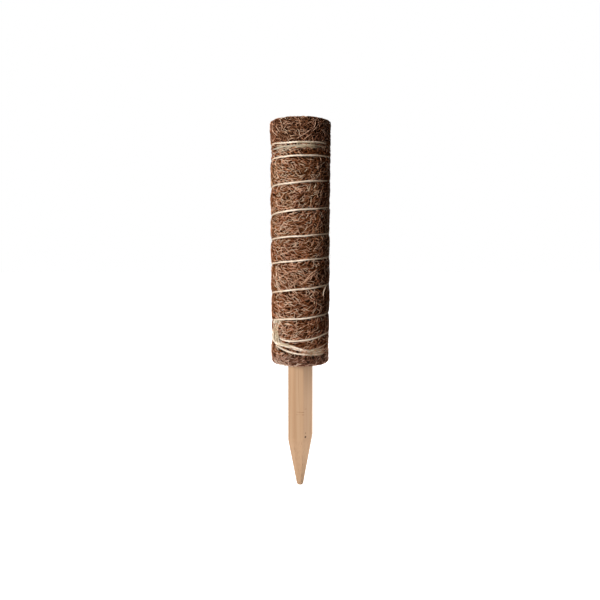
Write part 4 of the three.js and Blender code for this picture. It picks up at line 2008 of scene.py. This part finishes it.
@dataclass
class Studio:
    """White floor, lamps and the camera.

    Attributes:
        floor_height: Height of the floor, in metres.
        lamps: The lamps.
        floor_reach: How far the floor reaches, in millimetres.
        floor_glow: Light that the seen floor gives of itself.
        ambient: Light that the world gives the pole.
        camera_distance: Distance of the camera in front of the pole's axis, in metres.
        camera_height: Height of the camera over the coir's foot, in metres.
        camera_side: How far right of the pole's axis the camera stands, in metres.
        camera_tilt: How far the camera looks down, in degrees.
        lens: Focal length in millimetres.
        sensor: Width of the sensor in millimetres.
    """

    floor_height: float
    lamps: tuple[Lamp, ...]
    floor_reach: float = 4000
    floor_glow: float = 0.97
    ambient: float = 0.05
    camera_distance: float = 0.480
    camera_height: float = 0.0947
    camera_side: float = -0.0004
    camera_tilt: float = 5.235
    lens: float = 35.07
    sensor: float = 36

    def build(self) -> None:
        """Make the floor, the world, the lamps and the camera."""
        bpy.context.scene.view_settings.view_transform = "Standard"
        self.make_floor()
        self.make_world()
        for lamp in self.lamps:
            lamp.hang()
        self.add_camera()

    def make_floor(self) -> None:
        """Lay a wide white floor that shows the pole's shadow."""
        parts = MeshParts()
        signs = ((-1, -1), (1, -1), (1, 1), (-1, 1))
        height = self.floor_height / MM
        corners = [[self.floor_reach * x, self.floor_reach * y, height] for x, y in signs]
        parts.add(np.array(corners), np.array([[0, 1, 2, 3]]))
        floor = parts.build("studio_floor", smooth=False)
        graph = NodeGraph("studio_white")
        graph.set(Base_Color=(0.8, 0.8, 0.8, 1), Roughness=0.9)
        glow = graph.add("ShaderNodeEmission", Strength=self.floor_glow)
        dim = graph.add("ShaderNodeBsdfDiffuse", Color=(0.3, 0.27, 0.24, 1))
        both = graph.add("ShaderNodeAddShader")
        show = graph.add("ShaderNodeMixShader")
        graph.join(graph.shader.outputs[0], both.inputs[0])
        graph.join(glow.outputs[0], both.inputs[1])
        graph.join(self.seen_share(graph.material.node_tree), show.inputs[0])
        graph.join(dim.outputs[0], show.inputs[1])
        graph.join(both.outputs[0], show.inputs[2])
        graph.join(show.outputs[0], graph.nodes["Material Output"].inputs["Surface"])
        floor.data.materials.append(graph.material)
        floor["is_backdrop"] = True

    @staticmethod
    def seen_share(tree: bpy.types.NodeTree) -> bpy.types.NodeSocket:
        """Add the share of light that shows the white of the studio.

        Args:
            tree: Node tree of the floor or the world.

        Returns:
            Socket with one for rays from the camera, off gloss and through glass, else nought.
        """
        path = tree.nodes.new("ShaderNodeLightPath")
        share = path.outputs["Is Camera Ray"]
        for kind in ("Is Glossy Ray", "Is Transmission Ray"):
            either = tree.nodes.new("ShaderNodeMath")
            either.operation = "MAXIMUM"
            tree.links.new(share, either.inputs[0])
            tree.links.new(path.outputs[kind], either.inputs[1])
            share = either.outputs[0]
        return share

    def make_world(self) -> None:
        """Surround the pole with white that lights it only weakly."""
        world = bpy.data.worlds.new("studio_world")
        bpy.context.scene.world = world
        world.use_nodes = True
        nodes = world.node_tree.nodes
        links = world.node_tree.links
        background = nodes["Background"]
        background.inputs["Color"].default_value = (1, 1, 1, 1)
        strength = nodes.new("ShaderNodeMapRange")
        strength.inputs["To Min"].default_value = self.ambient
        strength.inputs["To Max"].default_value = 1.0
        links.new(self.seen_share(world.node_tree), strength.inputs["Value"])
        links.new(strength.outputs["Result"], background.inputs["Strength"])

    def add_camera(self) -> None:
        """Set the camera in front of the pole."""
        camera = bpy.data.cameras.new("front_camera")
        camera.lens = self.lens
        camera.sensor_width = self.sensor
        holder = bpy.data.objects.new("front_camera", camera)
        holder.location = (self.camera_side, -self.camera_distance, self.camera_height)
        holder.rotation_euler = (math.radians(90 - self.camera_tilt), 0, 0)
        bpy.context.scene.collection.objects.link(holder)
        bpy.context.scene.camera = holder


def node_box(name: str) -> Array:
    """Return the lowest and highest corner of a solid of the frame, in millimetres."""
    return np.array(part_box(name), dtype=float) / MM


def box_list(box: object) -> list[list[float]]:
    """Return a box as plain lists of metres."""
    return [[float(value) for value in corner] for corner in box]


FIT_GAP = 0.3
STAKE_FLATS = 19.6
TUBE_WALL = 1.6
FLOOR_GAP = 0.0001
# Deeper layers take darker tones: partly coir's own mix of tones, partly painted shade in the depths of the
# felt.
FIBRE_LAYERS = (
    FibreLayer(2200, (0.5, 0.75), (6, 12), (0.2, 0.28), {Tone.UMBER: 0.75, Tone.CHESTNUT: 0.25}),
    FibreLayer(
        5400,
        (0.3, 0.55),
        (3, 7),
        (0.19, 0.27),
        {Tone.UMBER: 0.56, Tone.CHESTNUT: 0.34, Tone.RUSSET: 0.1},
    ),
    FibreLayer(
        9600,
        (0.05, 0.36),
        (2.6, 6.2),
        (0.16, 0.24),
        {Tone.CHESTNUT: 0.26, Tone.RUSSET: 0.25, Tone.TAN: 0.32, Tone.STRAW: 0.17},
        curl=0.35,
        tangle=0.52,
    ),
    FibreLayer(
        900,
        (0.0, 0.2),
        (7, 13),
        (0.14, 0.2),
        {Tone.CHESTNUT: 0.25, Tone.RUSSET: 0.33, Tone.TAN: 0.3, Tone.STRAW: 0.12},
        curl=0.5,
    ),
)
FIBRE_FINISHES = (
    FibreFinish(Tone.UMBER, (93, 46, 17), (63, 29, 9), (84, 49, 20)),
    FibreFinish(Tone.CHESTNUT, (139, 84, 50), (107, 62, 34), (124, 84, 51)),
    FibreFinish(Tone.RUSSET, (191, 130, 98), (161, 106, 78), (175, 132, 96)),
    FibreFinish(Tone.TAN, (231, 183, 154), (206, 157, 129), (215, 180, 146)),
    FibreFinish(Tone.STRAW, (243, 214, 188), (226, 192, 164), (235, 209, 178)),
)
# The felt's near-black colour is partly its own dark brown and partly painted shade for the gaps between the
# fibres.
FELT_FINISH = FibreFinish(Tone.UMBER, (45, 20, 5), (27, 11, 3), (37, 18, 5), roughness=0.9)
STRAWS = (
    LooseStrand(((-7.5, 176.7, 0.2), (6, 180, 0.5), (19.1, 183.9, 0.2)), 0.23),
    LooseStrand(((6.7, 176.3, 0.2), (14, 178.8, 0.5), (21.3, 180.8, 0.1)), 0.2),
    LooseStrand(((27.5, 190.4, 0.2), (26.5, 187.6, 0.5), (24.3, 185.2, 0.1)), 0.2),
    LooseStrand(((-66, 187.2, 0.1), (-56, 183.0, 0.4), (-45.9, 180, 0.1)), 0.33),
    LooseStrand(((-50.5, 187.4, 0.1), (-45, 185, 0.4), (-40.4, 182.8, 0.1)), 0.33),
    LooseStrand(((-21.6, 166.3, 0.2), (-14, 168, 0.6), (-7.7, 168.8, 0.2)), 0.4),
)
COMBED_FIBRES = (
    LooseStrand(((-44.1, 78.2, 0.1), (-39.7, 75.9, 0.3), (-39.5, 73.8, 0.1)), 0.3),
    LooseStrand(
        ((-46.4, 73.8, 0.1), (-44.2, 71.4, 0.35), (-37.6, 70.6, 0.35), (-31.3, 72.7, 0.3), (-29.8, 74, 0.1)),
        0.32,
    ),
    LooseStrand(((-29.8, 74.2, 0.2), (-19.5, 75, 0.35), (-6.3, 75.3, 0.1)), 0.3),
    LooseStrand(((-20.8, 77.4, 0.1), (-14, 77.9, 0.3), (-8.4, 77.8, 0.1)), 0.27),
    LooseStrand(((-21.8, 79.5, 0.1), (-14, 79.9, 0.3), (-6.5, 80, 0.1)), 0.27),
    LooseStrand(((-20.1, 65.4, 0.1), (-7.6, 68.4, 0.35), (7.8, 72, 0.1)), 0.3),
    LooseStrand(((0, 64.9, 0.1), (9.3, 68.2, 0.3), (19.6, 73.5, 0.35), (36.8, 77.6, 0.1)), 0.32),
    LooseStrand(((5.7, 65.8, 0.1), (13.6, 69, 0.3), (20.8, 71.7, 0.3), (34.9, 75.5, 0.1)), 0.28),
    LooseStrand(((17.3, 68.2, 0.1), (21, 70.5, 0.3), (24.3, 73.2, 0.1)), 0.27),
)
STAKE_WOOD = WoodFinish(
    (163, 133, 105),
    (154, 121, 92),
    (132, 100, 74),
    (171, 139, 111),
    (66, 42, 28),
    (Knot((3.98, -9.0, -62.2), 1.15, 1.0), Knot((4.15, -8.9, -58.9), 0.65, 0.7)),
    (-38.6, -41.1, -43.2),
    (-3.3, 5.0),
)
# The wrap and the clean yarn take painted shade towards the left of the pole, and all twine a painted warm
# tint at its shaded right.
WRAP_TWINE = TwineFinish("twine_cream_yarn", left_painted_shade=0.9, tie_soil=0.9)
CLEAN_YARN = TwineFinish("twine_clean_yarn", left_painted_shade=0.3)
SOILED_YARN = TwineFinish(
    "twine_soiled_yarn",
    cream=(184, 167, 141),
    shade=(150, 133, 109),
    fleck=(106, 88, 67),
    shaded_side_tint=(186, 165, 138),
    tie_soil=0.5,
)
LAMPS = (
    Lamp("key", LampKind.SOFTBOX, (-1.06, -0.98, 0.28), 36.2, 0.6, tint=(1.0, 0.99, 0.97)),
    Lamp("back", LampKind.SOFTBOX, (0.15, 1.3, 0.5), 15.0, 0.6),
    Lamp("stake", LampKind.SPOT, (0.6, -0.23, -0.09), 30.0, 0.05, target=(0, 0, -0.066), cone=11.5),
)


def tie_off_yarns(winding: Winding) -> list[LooseStrand]:
    """Lay out the yarns that come down with the tie-off and turn into the foot tie.

    Args:
        winding: Way of the wrap that they lie on.

    Returns:
        The yarns, from left to right.
    """
    count = 9
    left = -72
    yarns = []
    for number in range(count):
        share = number / (count - 1)
        top, waist, foot = left + 27 * share, left + 20 * share, left + 27 * share
        lift = 1.1 + 0.35 * math.sin(2.6 * number)
        low = float(winding.height(1 + foot / 360))
        places = [(top, 37.4, -2.0), (top + 1, 34.6, 0.5), (waist, 28.0, lift)]
        places.append(((waist + foot) / 2, 23.8, lift))
        places.append((foot, low + 2.6, lift))
        for aside, out in ((5, 1.1), (15, 1.0), (28, 0.5), (44, -0.7)):
            angle = foot + aside
            onto = float(smoothstep(np.asarray(angle), -62, -20))
            height = float(winding.height(1 + angle / 360)) + winding.pitch * onto
            places.append((angle, height + 0.8 - 0.5 * (number % 4), out))
        yarns.append(LooseStrand(tuple(places), 0.45 if number < 3 else 0.34, number in (3, 5, 6, 8)))
    return yarns


def foot_tie_yarns(winding: Winding) -> list[LooseStrand]:
    """Lay out the yarns that lie muddled over the right of the foot tie.

    Args:
        winding: Way of the wrap that they lie on.

    Returns:
        The yarns, from the lowest up.
    """
    end = 60
    clean = (1, 6)
    yarns = []
    for number in range(11):
        start = 2 + 6 * (number % 4)
        places = []
        for step, lift in enumerate((-0.3, 0.1, 0.3, 0.1, -0.6)):
            angle = start + step * (end - start) / 4
            wave = 0.4 * math.sin(2.4 * number + 1.7 * step)
            places.append((angle, float(winding.height(angle / 360)) - 0.4 + 0.43 * number + wave, lift))
        yarns.append(LooseStrand(tuple(places), 0.29, number not in clean))
    return yarns


def top_tie_yarns() -> list[LooseStrand]:
    """Lay out the yarns that lie along the right and the left of the top tie.

    Returns:
        The yarns, those at the right first.
    """
    end = 45
    yarns = []
    for number, height in enumerate((170.9, 171.8, 172.5, 174.6)):
        start = 2 + 3 * (number % 3)
        places = []
        for step, lift in enumerate((-0.4, 0.2, 0.3, 0.1, -0.8)):
            wave = 0.35 * math.sin(1.9 * number + 2.1 * step)
            places.append((start + step * (end - start) / 4, height + wave, lift))
        yarns.append(LooseStrand(tuple(places), 0.34, number != 3))
    for number in range(5):
        start, height = -68 + 5 * number, 173.4 - 1.1 * number
        left_half = ((start, height - 0.8, -0.6), (start + 18, height, 0.0))
        right_half = ((start + 36, 171.6, 0.1), (start + 58, 171, -0.6))
        yarns.append(LooseStrand(left_half + right_half, 0.3, True))
    return yarns


def loose_yarns(winding: Winding) -> tuple[LooseStrand, ...]:
    """Lay out the single yarns that lie loose about the ties.

    Args:
        winding: Way of the wrap that they lie on.

    Returns:
        The loose yarns.
    """
    below_tie = ((-10, 170.4, 0.0), (-3, 170.8, 0.6), (6, 170.7, 0.6), (12, 171.0, 0.0))
    upper_tail = ((64, 64.9, 1.0), (55, 62.1, 2.0), (50.3, 60.2, 2.2))
    lower_tail = ((47.5, 57.8, 2.2), (47.7, 56.1, 2.2), (49.6, 54.8, 2.1))
    return (
        *tie_off_yarns(winding),
        *foot_tie_yarns(winding),
        *top_tie_yarns(),
        LooseStrand(below_tie, 0.5, True),
        LooseStrand(upper_tail + lower_tail, 0.27),
    )


def stray_fibres() -> tuple[LooseStrand, ...]:
    """Lay out the coir fibres that have worked their way over the tie at the foot.

    Returns:
        The stray fibres.
    """
    fibres = []
    for number in range(26):
        angle = 4 + 2.5 * number
        height = 11.5 + 2.6 * math.sin(2.3 * number)
        lean = 3.0 * math.sin(1.7 * number)
        rise = 2.2 * math.cos(3.1 * number)
        start = (angle - lean - 3, height - rise, 0.2)
        end = (angle + lean + 3, height + rise, 0.2)
        fibres.append(LooseStrand((start, (angle, height, 0.75), end), 0.2))
    return tuple(fibres)


def main() -> None:
    """Build the looks of the pole, piece by piece."""
    logging.basicConfig(level=logging.INFO, format="%(name)s %(message)s")
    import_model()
    cad_box = box_list(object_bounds())
    coir = node_box("coir_mat")
    tube = node_box("core_tube")
    stake = node_box("wooden_stake")
    tube_radius = tube[1][0]
    coir_length = coir[1][2] - coir[0][2]
    winding = Winding(coir_length=coir_length)
    surface = CoirSurface(winding, coir_length, coir[1][0], tube_radius + FIT_GAP)
    strays = stray_fibres()
    CoirColumn(surface, FIBRE_LAYERS, FIBRE_FINISHES, FELT_FINISH, STRAWS, COMBED_FIBRES, strays).build()
    TwineBinding(winding, WRAP_TWINE, CLEAN_YARN, SOILED_YARN, loose_yarns(winding)).build()
    WoodenStake(STAKE_WOOD, STAKE_FLATS, -stake[0][2], stake[1][2]).build()
    CoreTube(PlasticFinish(), tube_radius, TUBE_WALL, tube[0][2], tube[1][2]).build()
    StakeNails(SteelFinish()).dress()
    Studio(cad_box[0][2] - FLOOR_GAP, LAMPS).build()
    bpy.context.view_layer.update()


if __name__ == "__main__":
    main()
